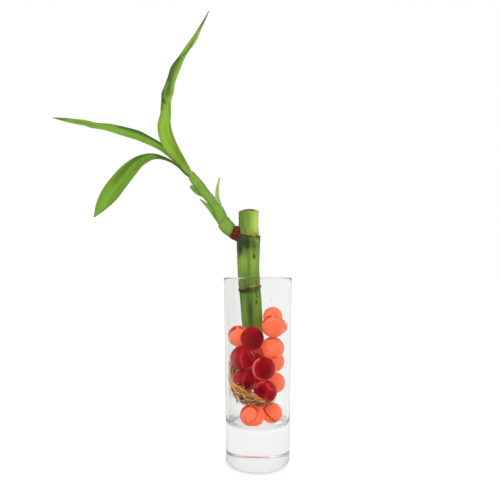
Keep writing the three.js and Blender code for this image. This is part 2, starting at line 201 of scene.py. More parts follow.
class Paint:
    """Nodes of one material or of the world."""

    def __init__(self, tree):
        self.tree = tree

    def node(self, kind, settings, values, output=0):
        """Adds a node: its settings first, then what its sockets hold or are linked to."""
        made = self.tree.nodes.new(kind)
        for key, setting in settings.items():
            setattr(made, key, setting)
        for key, value in values.items():
            self.feed(made.inputs[key], value)
        return Value(self, made.outputs[output])

    def feed(self, socket, value):
        if isinstance(value, Value):
            self.tree.links.new(value.socket, socket)
        elif socket.type == "RGBA" and len(value) == 3:
            socket.default_value = (*value, 1)
        else:
            socket.default_value = value

    def mix(self, factor, first, second):
        """Colour between first and second."""
        settings = {"data_type": "RGBA", "clamp_factor": True}
        return self.node("ShaderNodeMix", settings, {0: factor, 6: first, 7: second}, 2)

    def coats(self, colour, *rows):
        """A colour with others laid over it in turn, each as far as its factor says."""
        for factor, coat in rows:
            colour = self.mix(factor, colour, coat)
        return colour

    def place(self, stretch=(1, 1, 1)):
        """Place on the object in metres, with each axis stretched."""
        where = self.node("ShaderNodeTexCoord", {}, {}, "Object")
        return self.node("ShaderNodeVectorMath", {"operation": "MULTIPLY"}, {0: where, 1: stretch})

    def join(self, *values):
        """A place made of separate values."""
        return self.node("ShaderNodeCombineXYZ", {}, dict(enumerate(values)))

    def split(self, vector):
        first = self.node("ShaderNodeSeparateXYZ", {}, {0: vector})
        return [Value(self, socket) for socket in first.socket.node.outputs]

    def drawn(self, name):
        """The three numbers that the mesh holds under a name."""
        return self.split(self.node("ShaderNodeAttribute", {"attribute_name": name}, {}, "Vector"))

    def noise(self, scale, detail, stretch=(1, 1, 1), where=None):
        """Noise from 0 to 1, over the place on the object where no other place is given."""
        values = {"Vector": where or self.place(stretch), "Scale": scale, "Detail": detail, "Roughness": 0.55}
        return self.node("ShaderNodeTexNoise", {}, values, "Fac")


class Surface(Paint):
    """A material with one Principled shader. Sockets that are the same all over are given by name."""

    def __init__(self, name, **fixed):
        self.material = bpy.data.materials.new(name)
        self.material.use_nodes = True
        super().__init__(self.material.node_tree)
        self.shader = self.tree.nodes["Principled BSDF"]
        for key, value in fixed.items():
            self.set(key.replace("_", " "), value)

    def set(self, socket, value):
        self.feed(self.shader.inputs[socket], value)

    def finish(self, colour, roughness, height, strength, depth):
        """Sets what varies: colour, roughness and a bump whose depth is in millimetres."""
        self.set("Base Color", colour)
        self.set("Roughness", roughness)
        values = {"Height": height, "Strength": strength, "Distance": depth * MM}
        self.set("Normal", self.node("ShaderNodeBump", {}, values, "Normal"))
        return self.material


# Mesh helpers. Shapes are worked out in millimetres.

def along(stations, t):
    """Smooth value at t (0 to 1) on evenly spaced stations, each a row of numbers."""
    last = len(stations) - 1
    place = min(max(t, 0), 1) * last
    i = min(int(place), last - 1)
    f = place - i
    a, b, c, d = (np.array(stations[min(max(k, 0), last)], float) for k in (i - 1, i, i + 1, i + 2))
    start, end, rise = (c - a) / 2, (d - b) / 2, c - b
    return b + f * (start + f * (3 * rise - 2 * start - end + f * (start + end - 2 * rise)))


def heading(stations, t, step=0.004):
    """Direction in which the stations run at t."""
    way = Vector(along(stations, min(t + step, 1))[:3] - along(stations, max(t - step, 0))[:3])
    return way.normalized()


def square(way, ahead):
    """The direction nearest to way that stands square to ahead."""
    return (way - ahead * way.dot(ahead)).normalized()


def bell(distance, width):
    return math.exp(-(distance / width) ** 2)


def limited(value, low=0, high=1):
    return min(max(value, low), high)


def turns(sides):
    """Angles of the corners of a ring."""
    return [TURN * j / sides for j in range(sides)]


def spokes(side, ahead, sides):
    """Turn and direction of each corner of a ring that stands square to ahead and starts at side."""
    over = ahead.cross(side)
    return [(turn, side * math.cos(turn) + over * math.sin(turn)) for turn in turns(sides)]


def ring_faces(rows, count, caps=True):
    """Faces between rings of points, with a fan on each end when caps is set."""
    pairs = [(j, (j + 1) % count) for j in range(count)]
    faces = []
    for low in range(0, (rows - 1) * count, count):
        high = low + count
        faces += [(low + j, low + k, high + k, high + j) for j, k in pairs]
    if caps:
        last, first_hub = (rows - 1) * count, rows * count
        for j, k in pairs:
            faces += [(first_hub, k, j), (first_hub + 1, last + j, last + k)]
    return faces


def tube(stations, rows, sides, swell):
    """Points, faces and grain (turn, share of the length, height) of a closed round shape along stations of
    place and radius. swell gives what is added to the radius."""
    points, grain = [], []
    side = Vector((1, 0, 0))
    for i in range(rows):
        t = i / (rows - 1)
        row = along(stations, t)
        ahead = heading(stations, t)
        side = square(side, ahead)
        for turn, out in spokes(side, ahead, sides):
            points.append(Vector(row[:3]) + out * (row[3] + swell(t, turn, row)))
            grain.append((turn, t, row[2]))
    for t in (0, 1):
        points.append(Vector(along(stations, t)[:3]))
        grain.append((0, t, 0))
    return points, ring_faces(rows, sides), grain


def add_object(name, data):
    made = bpy.data.objects.new(name, data)
    bpy.context.scene.collection.objects.link(made)
    return made


def make_piece(name, points, faces, material, slot, node=None, **drawn):
    """A piece of the visual model. drawn holds rows of three numbers, one row to a point."""
    mesh = bpy.data.meshes.new(name)
    mesh.from_pydata([tuple(c * MM for c in p) for p in points], [], faces)
    for key, rows in drawn.items():
        layer = mesh.attributes.new(key, "FLOAT_VECTOR", "POINT")
        layer.data.foreach_set("vector", np.asarray(rows, dtype=np.float32).ravel())
    mesh.shade_smooth()
    mesh.materials.append(material)
    piece = add_object(name, mesh)
    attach(piece, BODY)
    if node:
        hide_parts(node)
    return piece


# Glass vase

GLASS_SIDES = 160
FOOT_STEPS = 24
FOOT_RING_WIDTH = 0.4
RECESS_SLOPE = 3.2
WALL_STEPS = 40
FLOOR_DIP = 0.5


def glass_profile(glass):
    """Radius and height of the glass from the foot up the outside and down the inside."""
    wall, heel, corner = glass.wall / MM, glass.heel / MM, glass.floor_corner / MM
    foot, base, recess = glass.foot_radius / MM, glass.base / MM, glass.recess / MM
    low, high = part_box("glass_vase")
    height = high[2] / MM
    rim = (high[0] - low[0]) / 2 / MM
    points = [(0, recess)]

    def arc(centre_r, centre_z, radius, start, end, steps):
        for i in range(steps + 1):
            angle = math.radians(start + (end - start) * i / steps)
            points.append((centre_r + radius * math.cos(angle), centre_z + radius * math.sin(angle)))

    def straight(to, steps):
        from_r, from_z = points[-1]
        for i in range(1, steps):
            t = i / steps
            points.append((from_r + (to[0] - from_r) * t, from_z + (to[1] - from_z) * t))

    for i in range(1, FOOT_STEPS):
        r = (foot - heel) * i / FOOT_STEPS
        rise = limited((foot - heel - FOOT_RING_WIDTH - r) / RECESS_SLOPE)
        points.append((r, recess * rise * rise * (3 - 2 * rise)))
    arc(foot - heel, heel, heel, -90, 0, 14)
    straight((rim - 0.02, height - wall / 2), WALL_STEPS)
    arc(rim - wall / 2, height - wall / 2, wall / 2, 0, 180, 18)
    top = base + corner
    inner_corner = foot + (rim - foot) * top / height - wall
    straight((inner_corner, top), WALL_STEPS)
    arc(inner_corner - corner, top, corner, 0, -82, 16)
    straight((0, base - FLOOR_DIP), 12)
    points.append((0, base - FLOOR_DIP))
    return points


def glass_material(glass):
    """Clear glass with painted shade on its left side and a faint cloudy film, dimmer in its thick base, less
    polished where it was pressed, with a few dried drops."""
    surface = Surface("clear_glass", IOR=1.5, Transmission_Weight=1.0, Specular_Tint=(0.1, 0.1, 0.1))
    left, low, pressed = surface.drawn("film")
    ripple = surface.noise(55.0, 2.0, (1, 1, 0.4))
    cloud = surface.noise(130.0, 4.0, (1, 1, 0.25))
    drop = surface.node("ShaderNodeTexVoronoi", {}, {"Vector": surface.place(), "Scale": 230.0}, "Distance")
    dried = (1 - drop.above(0.06, 0.12)) * cloud.above(0.5, 0.6)
    colour = surface.coats(
        glass.tint,
        # Painted shade on the left side, with a faint cloudy film all over.
        ((left * (0.4 + cloud) + cloud.above(0.45, 0.75) * 0.15).clamp(), (0.84, 0.855, 0.84)),
        (low * 0.7, (0.86, 0.865, 0.86)),
        (dried, (0.5, 0.5, 0.46)),
    )
    return surface.finish(colour, pressed * 0.35 + cloud.above(0.66, 0.8) * 0.02, ripple, 0.06, 0.4)


class LUCKY_OT_glass(bpy.types.Operator):
    """Builds the clear glass vase"""
    bl_idname = "lucky_bamboo.glass"
    bl_label = "Glass Vase"

    def execute(self, context):
        glass = context.scene.lucky_glass
        profile = glass_profile(glass)
        base = glass.base / MM
        floor_reach = glass.foot_radius / MM - glass.wall / MM
        rim_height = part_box("glass_vase")[1][2] / MM
        points, film = [], []
        for radius, height in profile[1:-1]:
            inside = radius < floor_reach and height > base - 1
            pressed = max(bell(height, 2.4), 0.6 * bell(height - rim_height, 1.2),
                          bell(height - base - 1.6, 2.2) if inside else 0)
            for turn in turns(GLASS_SIDES):
                points.append((radius * math.cos(turn), radius * math.sin(turn), height))
                # Painted shade on the left side of the glass, with a second patch low down towards the front.
                left = bell(turn - math.pi, 0.8) + 0.5 * bell(turn - 3.75, 0.35) * bell(height - 27, 5)
                film.append((left, 1 if height < base - 2 else 0, pressed))
        points += [(0, 0, profile[0][1]), (0, 0, profile[-1][1])]
        film += [(0, 1, 1), (0, 0, 1)]
        faces = ring_faces(len(profile) - 2, GLASS_SIDES)
        material = glass_material(glass)
        vase = make_piece("vase_body", points, faces, material, "clear_glass", "glass_vase", film=film)
        vase.visible_shadow = False
        return {"FINISHED"}


# Cane: stations are place and radius

CANE_BOTTOM = 68
CANE_TOP = 141.1
CANE_ROWS = 420
CANE_SIDES = 112
CANE_LINE = [
    [-2.5, 8.3, CANE_BOTTOM, 5.9], [-3.2, 7.8, 77.7, 6.1], [-4.0, 7.2, 89.9, 6.3], [-4.8, 6.8, 98.5, 6.3],
    [-5.3, 6.2, 107, 6.25], [-5.3, 5.6, 117, 6.55], [-5.3, 5.2, 124.6, 6.6], [-5.2, 5.1, 131.8, 5.7],
    [-5.2, 5, CANE_TOP - 0.7, 5.75],
]

# Turn at which each ring has its knob, and the turn of the bud that grew into the shoot.
UPPER_KNOB = 5.6
LOWER_KNOB = 5.75
BUD_SIDE = 3.9


def from_rings(turn, z):
    """Heights above the upper and the lower leaf-scar ring, which wave round the cane."""
    front = math.cos(turn - FRONT)
    right = math.cos(turn)
    upper = 126.75 - 0.75 * front - 0.55 * right + 0.15 * math.sin(5 * turn)
    lower = 96.2 + 0.2 * front + 0.5 * right + 0.25 * math.sin(4 * turn + 1)
    return z - upper, z - lower


def cane_swell(t, turn, row):
    """Rings with their grooves and knobs, faint fluting, slow lumps and the lip under the cut."""
    z = row[2]
    upper, lower = from_rings(turn, z)
    swell = 0.42 * bell(upper + 0.5, 0.75) - 0.32 * bell(upper - 0.55, 0.45) + 0.25 * bell(upper + 2.2, 1.8)
    crumbs = 0.6 + 0.4 * math.sin(9 * turn + 3 * z)
    swell += 0.35 * bell(turn - UPPER_KNOB, 0.35) * bell(upper + 0.2, 1.1) * crumbs
    swell += 0.5 * bell(lower, 0.8) - 0.2 * bell(lower - 1.2, 0.6)
    crumbs = 0.6 + 0.4 * math.sin(11 * turn + 4 * z)
    swell += 0.55 * bell(turn - LOWER_KNOB, 0.4) * bell(lower, 1.3) * crumbs
    fluting = 0.03 * math.sin(11 * turn + 0.02 * z) + 0.02 * math.sin(23 * turn)
    lump = noise.noise(Vector((2 * math.cos(turn), 2 * math.sin(turn), z * 0.08))) * 0.16
    lip = 0.1 * bell(z - (CANE_TOP - 1.4), 0.6)
    return swell + fluting + lump + lip


# Marks on the cane: degrees to the right of the front, height, half widths in degrees and millimetres,
# strength. The three lists darken, turn brown and lighten the skin. The dark list is mostly painted shade
# below the rings and on the left side, with dark scars; the light list is mostly painted light on the right
# side, with a few pale dry scratches.
DARK_MARKS = [
    (-26, 122.8, 32, 3.2, 1.0), (-52, 121.0, 20, 3.0, 0.8), (-66, 124.0, 30, 1.6, 1.0),
    (31, 114.0, 6, 1.0, 1.0), (-10, 94.9, 60, 1.1, 0.7), (-6, 120.8, 12, 3.8, 0.8),
    (-44, 117.6, 22, 3.6, 0.8), (36, 120.8, 34, 3.4, 0.4), (-68, 134, 18, 8, 0.45),
    (-80, 112, 22, 12, 0.4), (80, 118, 14, 9, 0.35), (4, 110, 7, 8, 0.45), (30, 119, 9, 6, 0.3),
    (-6, 82, 15, 11, 0.85), (33, 93.8, 6, 0.8, 0.9), (32, 88.3, 7, 1.2, 1.0), (-60, 92, 16, 3, 0.6),
    (-2, 135, 16, 5, 0.3),
]
BROWN_MARKS = [
    (-50, 117.4, 15, 2.8, 1.0), (-64, 120.5, 14, 1.8, 0.7), (31, 114.0, 6, 1.0, 1.0),
    (27, 115.3, 3.0, 0.7, 1.0), (-12, 94.4, 10, 1.1, 0.9), (33, 93.8, 4, 0.6, 1.0),
    (34, 92.2, 3.5, 0.5, 1.0), (37, 91.0, 4.5, 0.5, 0.9), (32, 88.3, 6, 1.1, 1.0),
    (-2, 131, 3.5, 0.7, 0.6), (-75, 98.5, 20, 1.6, 0.7),
]
LIGHT_MARKS = [
    (52, 134, 34, 10, 1.0), (12, 134, 24, 10, 0.12), (-28, 110.5, 30, 6.5, 0.3), (30, 110.5, 30, 7, 0.45),
    (34, 83, 15, 10, 0.35), (52, 74, 18, 6, 0.3), (52, 89.2, 4, 0.5, 1.0), (-8, 81.1, 3, 0.5, 1.0),
    (-40, 84, 14, 8, 0.2),
]


def marks(rows, turn, z):
    """How far a place on the cane lies inside the marks, 0 to 1."""
    total = 0
    for at, height, wide, tall, strength in rows:
        aside = (math.degrees(turn - FRONT) - at + 180) % 360 - 180
        total += strength * bell(aside, wide) * bell(z - height, tall)
    return min(total, 1)


def cane_material(cane):
    """Green skin with long streaks, marks, scarred rings and a dried cut, with painted light on its right side
    and painted shade on its left and below its rings.
    """
    surface = Surface("cane_skin", Specular_IOR_Level=0.25)
    light, dark, brown = surface.drawn("tone")
    cut, scar, tan = surface.drawn("wear")
    streak = surface.noise(700.0, 4.0, (1, 1, 0.03))
    wide = surface.noise(260.0, 2.0, (1, 1, 0.05))
    fine = surface.noise(2200.0, 3.0, (1, 1, 0.08))
    short = surface.noise(430.0, 3.0, (1, 1, 0.22))
    mottle = surface.noise(420.0, 5.0)
    x, _, z = surface.split(surface.place())
    young = x.above(-2.2 * MM, 1.5 * MM) * (1 - z.above(84 * MM, 94 * MM))
    rim = surface.mix(mottle.above(0.35, 0.6), srgb(92, 40, 28), srgb(70, 24, 18))
    dried = surface.mix(mottle.above(0.42, 0.62), cane.dry, srgb(104, 72, 62))
    colour = surface.coats(
        cane.green,
        (wide.above(0.42, 0.62) * 0.5, srgb(84, 118, 36)),
        (streak.above(0.48, 0.68) * 0.45, cane.deep),
        (short.above(0.5, 0.66) * 0.3, cane.deep),
        # Painted light on the right side, and pale dry scratches, from the light marks.
        ((light * (0.75 + streak * 0.5)).clamp(), cane.yellow),
        # Painted shade below the rings and on the left side, and dark scars, from the dark marks.
        (((dark + (mottle - 0.5) * 0.45) * dark.above(0.02, 0.4)).clamp(), cane.deep),
        # Painted light: brighter green on the lower right side.
        (young * (0.6 + streak * 0.6), cane.young),
        (fine.above(0.6, 0.8) * 0.2, cane.yellow),
        (((brown + (mottle - 0.5) * 0.9) * brown.above(0.03, 0.3)).clamp(), cane.brown),
        ((tan * (0.5 + mottle)).clamp(), srgb(178, 142, 96)),
        ((scar * (0.25 + mottle.above(0.34, 0.56))).clamp(), cane.brown),
        (cut.above(0.02, 0.45), rim),
        (cut.above(0.5, 0.95), dried),
    )
    height = streak * 0.5 + fine * 0.25 + mottle * (0.3 + scar + cut)
    return surface.finish(colour, 0.4 + streak * 0.2 + scar * 0.25 + cut * 0.3, height, 0.3, 0.22)


class LUCKY_OT_cane(bpy.types.Operator):
    """Builds the cut cane with its two rings, scars and dried top"""
    bl_idname = "lucky_bamboo.cane"
    bl_label = "Cane"

    def execute(self, context):
        self.points, _, grain = tube(CANE_LINE, CANE_ROWS, CANE_SIDES, cane_swell)
        self.points, grain = self.points[:-2], grain[:-2]
        self.tone = [self.skin_tone(turn, z) for turn, _, z in grain]
        self.wear = [self.skin_wear(turn, z) for turn, _, z in grain]
        for point, (turn, _, z) in zip(self.points, grain):
            corner = 0.65 * math.cos(turn) ** 2 - 0.25 * math.cos(turn)
            point.z -= corner * limited((z - CANE_TOP + 3) / 2.3) ** 2
        faces = ring_faces(CANE_ROWS, CANE_SIDES, caps=False)
        faces += self.cut_end(CANE_ROWS - 1, 1) + self.cut_end(0, -1)
        make_piece("cane_skin", self.points, faces, cane_material(context.scene.lucky_cane), "cane_skin",
                   "cane", tone=self.tone, wear=self.wear)
        return {"FINISHED"}

    def skin_tone(self, turn, z):
        """How light, dark and brown the marks make a place, with painted shade just below the upper ring."""
        upper, _ = from_rings(turn, z)
        dark = max(marks(DARK_MARKS, turn, z), 0.5 * bell(upper + 1.8, 1.6))
        return (marks(LIGHT_MARKS, turn, z), dark, marks(BROWN_MARKS, turn, z))

    def skin_wear(self, turn, z):
        """How far a place belongs to the dried cut, to the scarred rings and to their tan edges."""
        upper, lower = from_rings(turn, z)
        rough = noise.noise(Vector((9 * turn, z * 0.6, 2))) + 0.5 * noise.noise(Vector((23 * turn, z, 5)))
        scar = max(
            bell(upper + 0.45, 0.7 + 0.35 * rough),
            bell(lower + 0.3 - 0.8 * rough, 1.3 + 1.0 * rough),
            0.8 * bell(upper - 0.3, 1.2) * bell(turn - UPPER_KNOB, 0.32),
            bell(upper + 0.9, 1.0) * bell(turn - BUD_SIDE, 0.5),
            bell(lower - 0.4, 1.3) * bell(turn - LOWER_KNOB, 0.4),
        )
        tan = max(0.5 * bell(upper - 0.7, 0.35), 0.9 * bell(lower - 0.9, 0.7) * bell(turn - 5.4, 0.55))
        line = 0.35 + 0.15 * math.sin(2 * turn) + 0.12 * math.sin(5 * turn + 1)
        return (limited((z - (CANE_TOP - 0.7 - 2.9 * line)) / 0.5), scar, tan)

    def cut_end(self, row, way):
        """Closes the top (way 1) or the bottom (way -1) with rings of dried pith inside a raised edge."""
        before = [row * CANE_SIDES + j for j in range(CANE_SIDES)]
        edge = [self.points[j] for j in before]
        middle = sum(edge, Vector()) / CANE_SIDES
        steps = 16
        faces = []
        for i in range(1, steps):
            share = 1 - i / steps
            crown = 0.5 * (1 - share ** 2) + 0.16 * bell(share - 0.93, 0.05) - 0.1 * bell(share - 0.8, 0.1)
            inner = []
            for corner in edge:
                grain = noise.noise(Vector((corner.x * share, corner.y * share, 3.0)) * 0.9) * 0.16
                point = middle.lerp(corner, share)
                point.z = middle.z * (1 - share) + corner.z * share + way * (crown + grain * (1 - share ** 6))
                inner.append(self.add_dry(point))
            for j in range(CANE_SIDES):
                k = (j + 1) % CANE_SIDES
                faces.append((before[j], before[k], inner[k], inner[j])[::way])
            before = inner
        hub = self.add_dry(middle + Vector((0, 0, way * 0.5)))
        for j in range(CANE_SIDES):
            faces.append((hub, *(before[j], before[(j + 1) % CANE_SIDES])[::way]))
        return faces

    def add_dry(self, point):
        """Adds a point of the dried cut and returns its number."""
        self.points.append(point)
        self.tone.append((0, 0, 0))
        self.wear.append((1, 0, 0))
        return len(self.points) - 1


# Shoot: stations are place and radius

COLLAR_LINE = [
    [-8.6, 5, 127.0, 4.6], [-11.6, 5, 127.5, 4.35], [-13.4, 5, 128.0, 4.1], [-15.2, 5, 128.9, 3.5],
]
STEM_LINE = [
    [-16, 5, 129.4, 2.9], [-18.6, 5, 132.2, 3.0], [-20.8, 4.8, 136.4, 3.0], [-23.7, 4.3, 142.4, 2.7],
    [-28.0, 3.6, 148, 2.6], [-32.9, 2.8, 153.6, 2.8], [-36.1, 2.2, 157.8, 2.2], [-38.3, 1.9, 161.2, 1.8],
]
LOWER_SHEATH_LINE = [
    [-14.7, 5, 129.0, 3.75], [-17.0, 5, 130.9, 4.1], [-18.8, 5, 132.9, 4.0], [-20.1, 4.9, 135.2, 3.85],
]
UPPER_SHEATH_LINE = [
    [-18.6, 5, 132.4, 3.1], [-20.6, 4.8, 136.2, 3.4], [-21.9, 4.6, 139.4, 3.3], [-23.0, 4.4, 142.3, 2.95],
]
TOP_SHEATH_LINE = [
    [-30.5, 3.1, 151.2, 2.5], [-33.0, 2.7, 154.2, 2.85], [-35.6, 2.3, 157.4, 2.55],
    [-37.3, 2.0, 159.6, 2.25],
]

# Each sheath: its name and line, how far its lower and its upper end are moved along the stem, and how much
# more on the upper side.
SHEATHS = [
    ("sheath_lower", LOWER_SHEATH_LINE, (-0.7, 1.5), (-1.4, 0.8)),
    ("sheath_upper", UPPER_SHEATH_LINE, (0, 0), (0.2, -1.0)),
    ("sheath_top", TOP_SHEATH_LINE, (0, 0), (0.2, 0.8)),
]
SHEATH_ROWS = 60
SHEATH_SIDES = 64
SHEATH_WALL = 0.35


def collar_swell(t, turn, row):
    lump = noise.noise(Vector((math.cos(turn), math.sin(turn), t * 2)) * 1.9) * 0.32
    crack = -0.14 * abs(math.sin(7 * turn + 3 * t))
    return lump * math.sin(math.pi * min(t + 0.15, 1)) + crack + 0.15 * bell(t - 0.3, 0.1)


def collar_material():
    """Matt red-brown bud tissue with pale fibres."""
    surface = Surface("bud_tissue", Specular_IOR_Level=0.2)
    mottle = surface.noise(700.0, 6.0)
    fibre = surface.noise(1900.0, 3.0, (0.25, 1, 1))
    colour = surface.coats(
        srgb(58, 18, 12),
        (mottle.above(0.4, 0.62), srgb(108, 34, 20)),
        (fibre.above(0.6, 0.78) * 0.45, srgb(168, 112, 76)),
    )
    return surface.finish(colour, 0.5 + mottle * 0.3, mottle * 0.7 + fibre * 0.4, 0.6, 0.35)


class LUCKY_OT_collar(bpy.types.Operator):
    """Builds the red-brown bud tissue where the shoot leaves the cane"""
    bl_idname = "lucky_bamboo.collar"
    bl_label = "Bud Collar"

    def execute(self, context):
        points, faces, _ = tube(COLLAR_LINE, 90, 84, collar_swell)
        make_piece("bud_collar", points, faces, collar_material(), "bud_tissue", "shoot_collar")
        return {"FINISHED"}


def stem_swell(t, turn, row):
    lump = 0.12 * noise.noise(Vector((math.cos(turn), math.sin(turn), 9 * t)))
    return 0.05 * math.sin(9 * turn + 4 * t) + lump


def stem_material(leaf):
    """Waxy young skin with painted light on its front, painted shade on its back and near its lower end, fine
    ribs and streaks and a pale rim.
    """
    surface = Surface("shoot_skin", Specular_IOR_Level=0.2)
    turn, length, _ = surface.drawn("grain")
    rib = (turn * 13.0).sine()
    streak = surface.noise(1.7, 3.0, where=surface.join(turn * 2.6, length * 2.2))
    mottle = surface.noise(170.0, 3.0)
    back = turn.sine()
    colour = surface.coats(
        srgb(76, 114, 28),
        (streak.above(0.38, 0.66), srgb(112, 146, 50)),
        # Painted light on the front of the stem.
        ((0 - back).above(0.35, 1.0) * 0.5, srgb(128, 166, 62)),
        # Painted shade on the back of the stem.
        (back.above(-0.35, 0.1) * 0.6, srgb(74, 112, 30)),
        (rib.above(0.75, 1.0) * 0.1, leaf.pale),
        # Painted shade near the lower end of the stem and of each sheath.
        ((1 - length.above(0.0, 0.22)) * 0.55, srgb(62, 100, 26)),
        (mottle.above(0.54, 0.72) * 0.3, srgb(72, 104, 38)),
        (length.above(0.95, 0.985) * 0.3, leaf.pale),
    )
    return surface.finish(colour, 0.42 + mottle * 0.15, rib * 0.3 + streak * 0.5, 0.25, 0.2)


class LUCKY_OT_shoot(bpy.types.Operator):
    """Builds the stem of the side shoot and the sheaths that clasp it"""
    bl_idname = "lucky_bamboo.shoot"
    bl_label = "Side Shoot"

    def execute(self, context):
        material = stem_material(context.scene.lucky_leaf)
        points, faces, grain = tube(STEM_LINE, 160, 56, stem_swell)
        make_piece("shoot_core", points, faces, material, "shoot_skin", "shoot_stem", grain=grain)
        for sheath in SHEATHS:
            self.sheath(*sheath, material)
        return {"FINISHED"}

    def sheath(self, name, line, low_lean, high_lean, material):
        """A thin sleeve round the stem, up its outside and down its inside."""
        outside = [i / (SHEATH_ROWS - 1) for i in range(SHEATH_ROWS)]
        points, grain = [], []
        for t, wall in [(t, 0) for t in outside] + [(t, SHEATH_WALL) for t in reversed(outside)]:
            ahead = heading(line, t)
            row = along(line, t)
            for turn, out in spokes(square(Vector((1, 0, 0)), ahead), ahead, SHEATH_SIDES):
                up = math.cos(turn)
                lean = (low_lean[0] + low_lean[1] * up) * (1 - t) ** 3
                lean += (high_lean[0] + high_lean[1] * up) * t ** 3
                flare = 0.2 * max(t - 0.8, 0) / 0.2 + 0.04 * math.sin(12 * turn)
                points.append(Vector(row[:3]) + out * (row[3] + flare - wall) + ahead * lean)
                grain.append((turn, t, row[2]))
        faces = ring_faces(2 * SHEATH_ROWS, SHEATH_SIDES, caps=False)
        last = (2 * SHEATH_ROWS - 1) * SHEATH_SIDES
        for j in range(SHEATH_SIDES):
            k = (j + 1) % SHEATH_SIDES
            faces.append((last + j, last + k, k, j))
        make_piece(name, points, faces, material, "shoot_skin", grain=grain)


# Leaves and bracts: stations are place, half width, roll in degrees and cup in radians

LEAF_UPRIGHT = [
    [-37.9, 1.9, 160.0, 1.9, 0, 1.0], [-42.6, 1.4, 167.6, 2.7, 10, 0.9], [-47.5, 0.8, 174.2, 4.0, 14, 0.7],
    [-50.6, 0.2, 180.5, 4.5, 15, 0.6], [-51.4, -0.3, 186.7, 4.8, 20, 0.8],
    [-49.8, -0.5, 193.1, 5.4, 42, 1.1], [-49.6, 0, 199.7, 5.3, 44, 1.1], [-49.0, 0.8, 205, 5.5, 38, 0.8],
    [-48.4, 1.8, 211, 4.9, 38, 0.7], [-45.6, 3.5, 220.8, 4.8, 36, 0.7], [-41.6, 5.2, 229.5, 3.9, 46, 0.7],
    [-36.3, 6.8, 239, 2.45, 30, 0.6], [-33.3, 7.8, 246.3, 1.45, 30, 0.5], [-28.2, 9, 257.3, 0.35, 30, 0.5],
]
LEAF_LEFT = [
    [-39.4, 4.2, 161.6, 1.6, -35, 1.1], [-46.8, 5.2, 168.8, 2.6, -38, 1.0],
    [-56.1, 6.4, 176.6, 3.6, -42, 0.9], [-66, 7.6, 181.6, 4.5, -42, 0.8], [-76, 9, 185.3, 5.0, -42, 0.7],
    [-87, 10.6, 189.2, 4.7, -45, 0.7], [-97.1, 12, 191.4, 3.75, -46, 0.6],
    [-106.3, 13, 193.7, 2.9, -42, 0.5], [-114.4, 13.8, 195.8, 2.1, -40, 0.5],
    [-121.7, 14.4, 197.4, 0.35, -35, 0.4],
]
LEAF_DROOPING = [
    [-40.7, 0.2, 160.8, 1.5, 72, 0.8], [-45.0, -0.8, 165.1, 1.8, 76, 0.7],
    [-51.4, -2.2, 168.5, 2.5, 81, 0.5], [-57.6, -4.0, 169.3, 3.3, 77, 0.5],
    [-63.9, -6.2, 166.4, 3.7, 61, 0.5], [-69.5, -8.3, 160.4, 4.2, 37, 0.5],
    [-74.4, -10.2, 153.3, 4.5, 22, 0.5], [-78.7, -11.8, 146.3, 4.5, 16, 0.5],
    [-82.7, -12.9, 140.1, 3.1, 12, 0.5], [-86.4, -13.8, 133.9, 0.35, 10, 0.4],
]
BRACT_RIGHT = [
    [-20.9, 3.4, 138.2, 2.2, 12, 1.3], [-21.6, 3.0, 142.8, 2.1, 12, 1.3],
    [-22.6, 2.9, 147.2, 1.6, 14, 1.2], [-22.7, 2.8, 152.2, 1.1, 16, 1.0],
    [-21.7, 2.8, 158.7, 0.35, 18, 0.6],
]
BRACT_LEFT = [
    [-22.6, 3.6, 134.4, 1.6, -30, 1.0], [-25.0, 3.4, 138.0, 1.9, -30, 1.0],
    [-28.0, 3.0, 142.1, 1.5, -28, 0.9], [-32.6, 2.6, 146.4, 0.35, -25, 0.6],
]
BRACT_STUB = [
    [-31.0, 3.4, 148.5, 0.8, -15, 0.7], [-34.4, 2.8, 150.4, 1.5, -15, 0.7],
    [-38.0, 2.2, 153.9, 1.1, -15, 0.6],
]

# Where the two lower leaves start inside the top sheath: place and half width.
LEFT_ROOT = (-37.7, 2.6, 159.4, 1.4)
DROOPING_ROOT = (-37.9, 1.3, 158.6, 1.2)
ROOT_ROWS = 12

# Strokes of painted shade (the dark lists) and painted light (the light lists) on a blade: from t, u to t, u,
# then half widths along t and u, and strength. t runs from 0 at the base to 1 at the tip, u from -1 to 1
# across.
UPRIGHT_DARK = [
    (0.43, -0.95, 0.58, -1.0, 0.012, 0.2, 0.8), (0.50, -0.6, 0.62, -0.4, 0.03, 0.45, 0.25),
    (0.466, -0.6, 0.50, -0.75, 0.008, 0.12, 0.8), (0.492, -0.6, 0.418, 0.75, 0.006, 0.05, 0.25),
    (0.42, 0.95, 0.15, 1.0, 0.01, 0.09, 0.8), (0.15, -1.0, 0.42, -1.0, 0.01, 0.06, 0.6),
    (0.51, -1.0, 0.64, -0.95, 0.02, 0.12, 0.7), (0.65, -0.95, 0.75, -1.0, 0.02, 0.38, 1.0),
    (0.56, -0.3, 0.74, -0.4, 0.04, 0.45, 0.6), (0.775, -0.3, 0.815, 0.3, 0.008, 0.2, 0.8),
    (0.81, -0.1, 0.92, -0.35, 0.01, 0.14, 0.9),
]
UPRIGHT_LIGHT = [
    (0.512, -0.75, 0.434, 0.8, 0.006, 0.07, 1.0), (0.79, -0.5, 0.83, 0.2, 0.006, 0.1, 0.8),
    (0.50, 0.55, 0.66, 0.6, 0.03, 0.2, 0.5), (0.46, 0.75, 0.60, 0.85, 0.03, 0.25, 0.9),
    (0.15, -0.3, 0.40, -0.45, 0.05, 0.35, 0.8), (0.20, 0.35, 0.38, 0.3, 0.05, 0.15, 0.5),
    (0.76, -0.7, 0.79, -0.6, 0.02, 0.25, 0.5), (0.83, 0.4, 0.92, 0.3, 0.03, 0.4, 0.9),
]
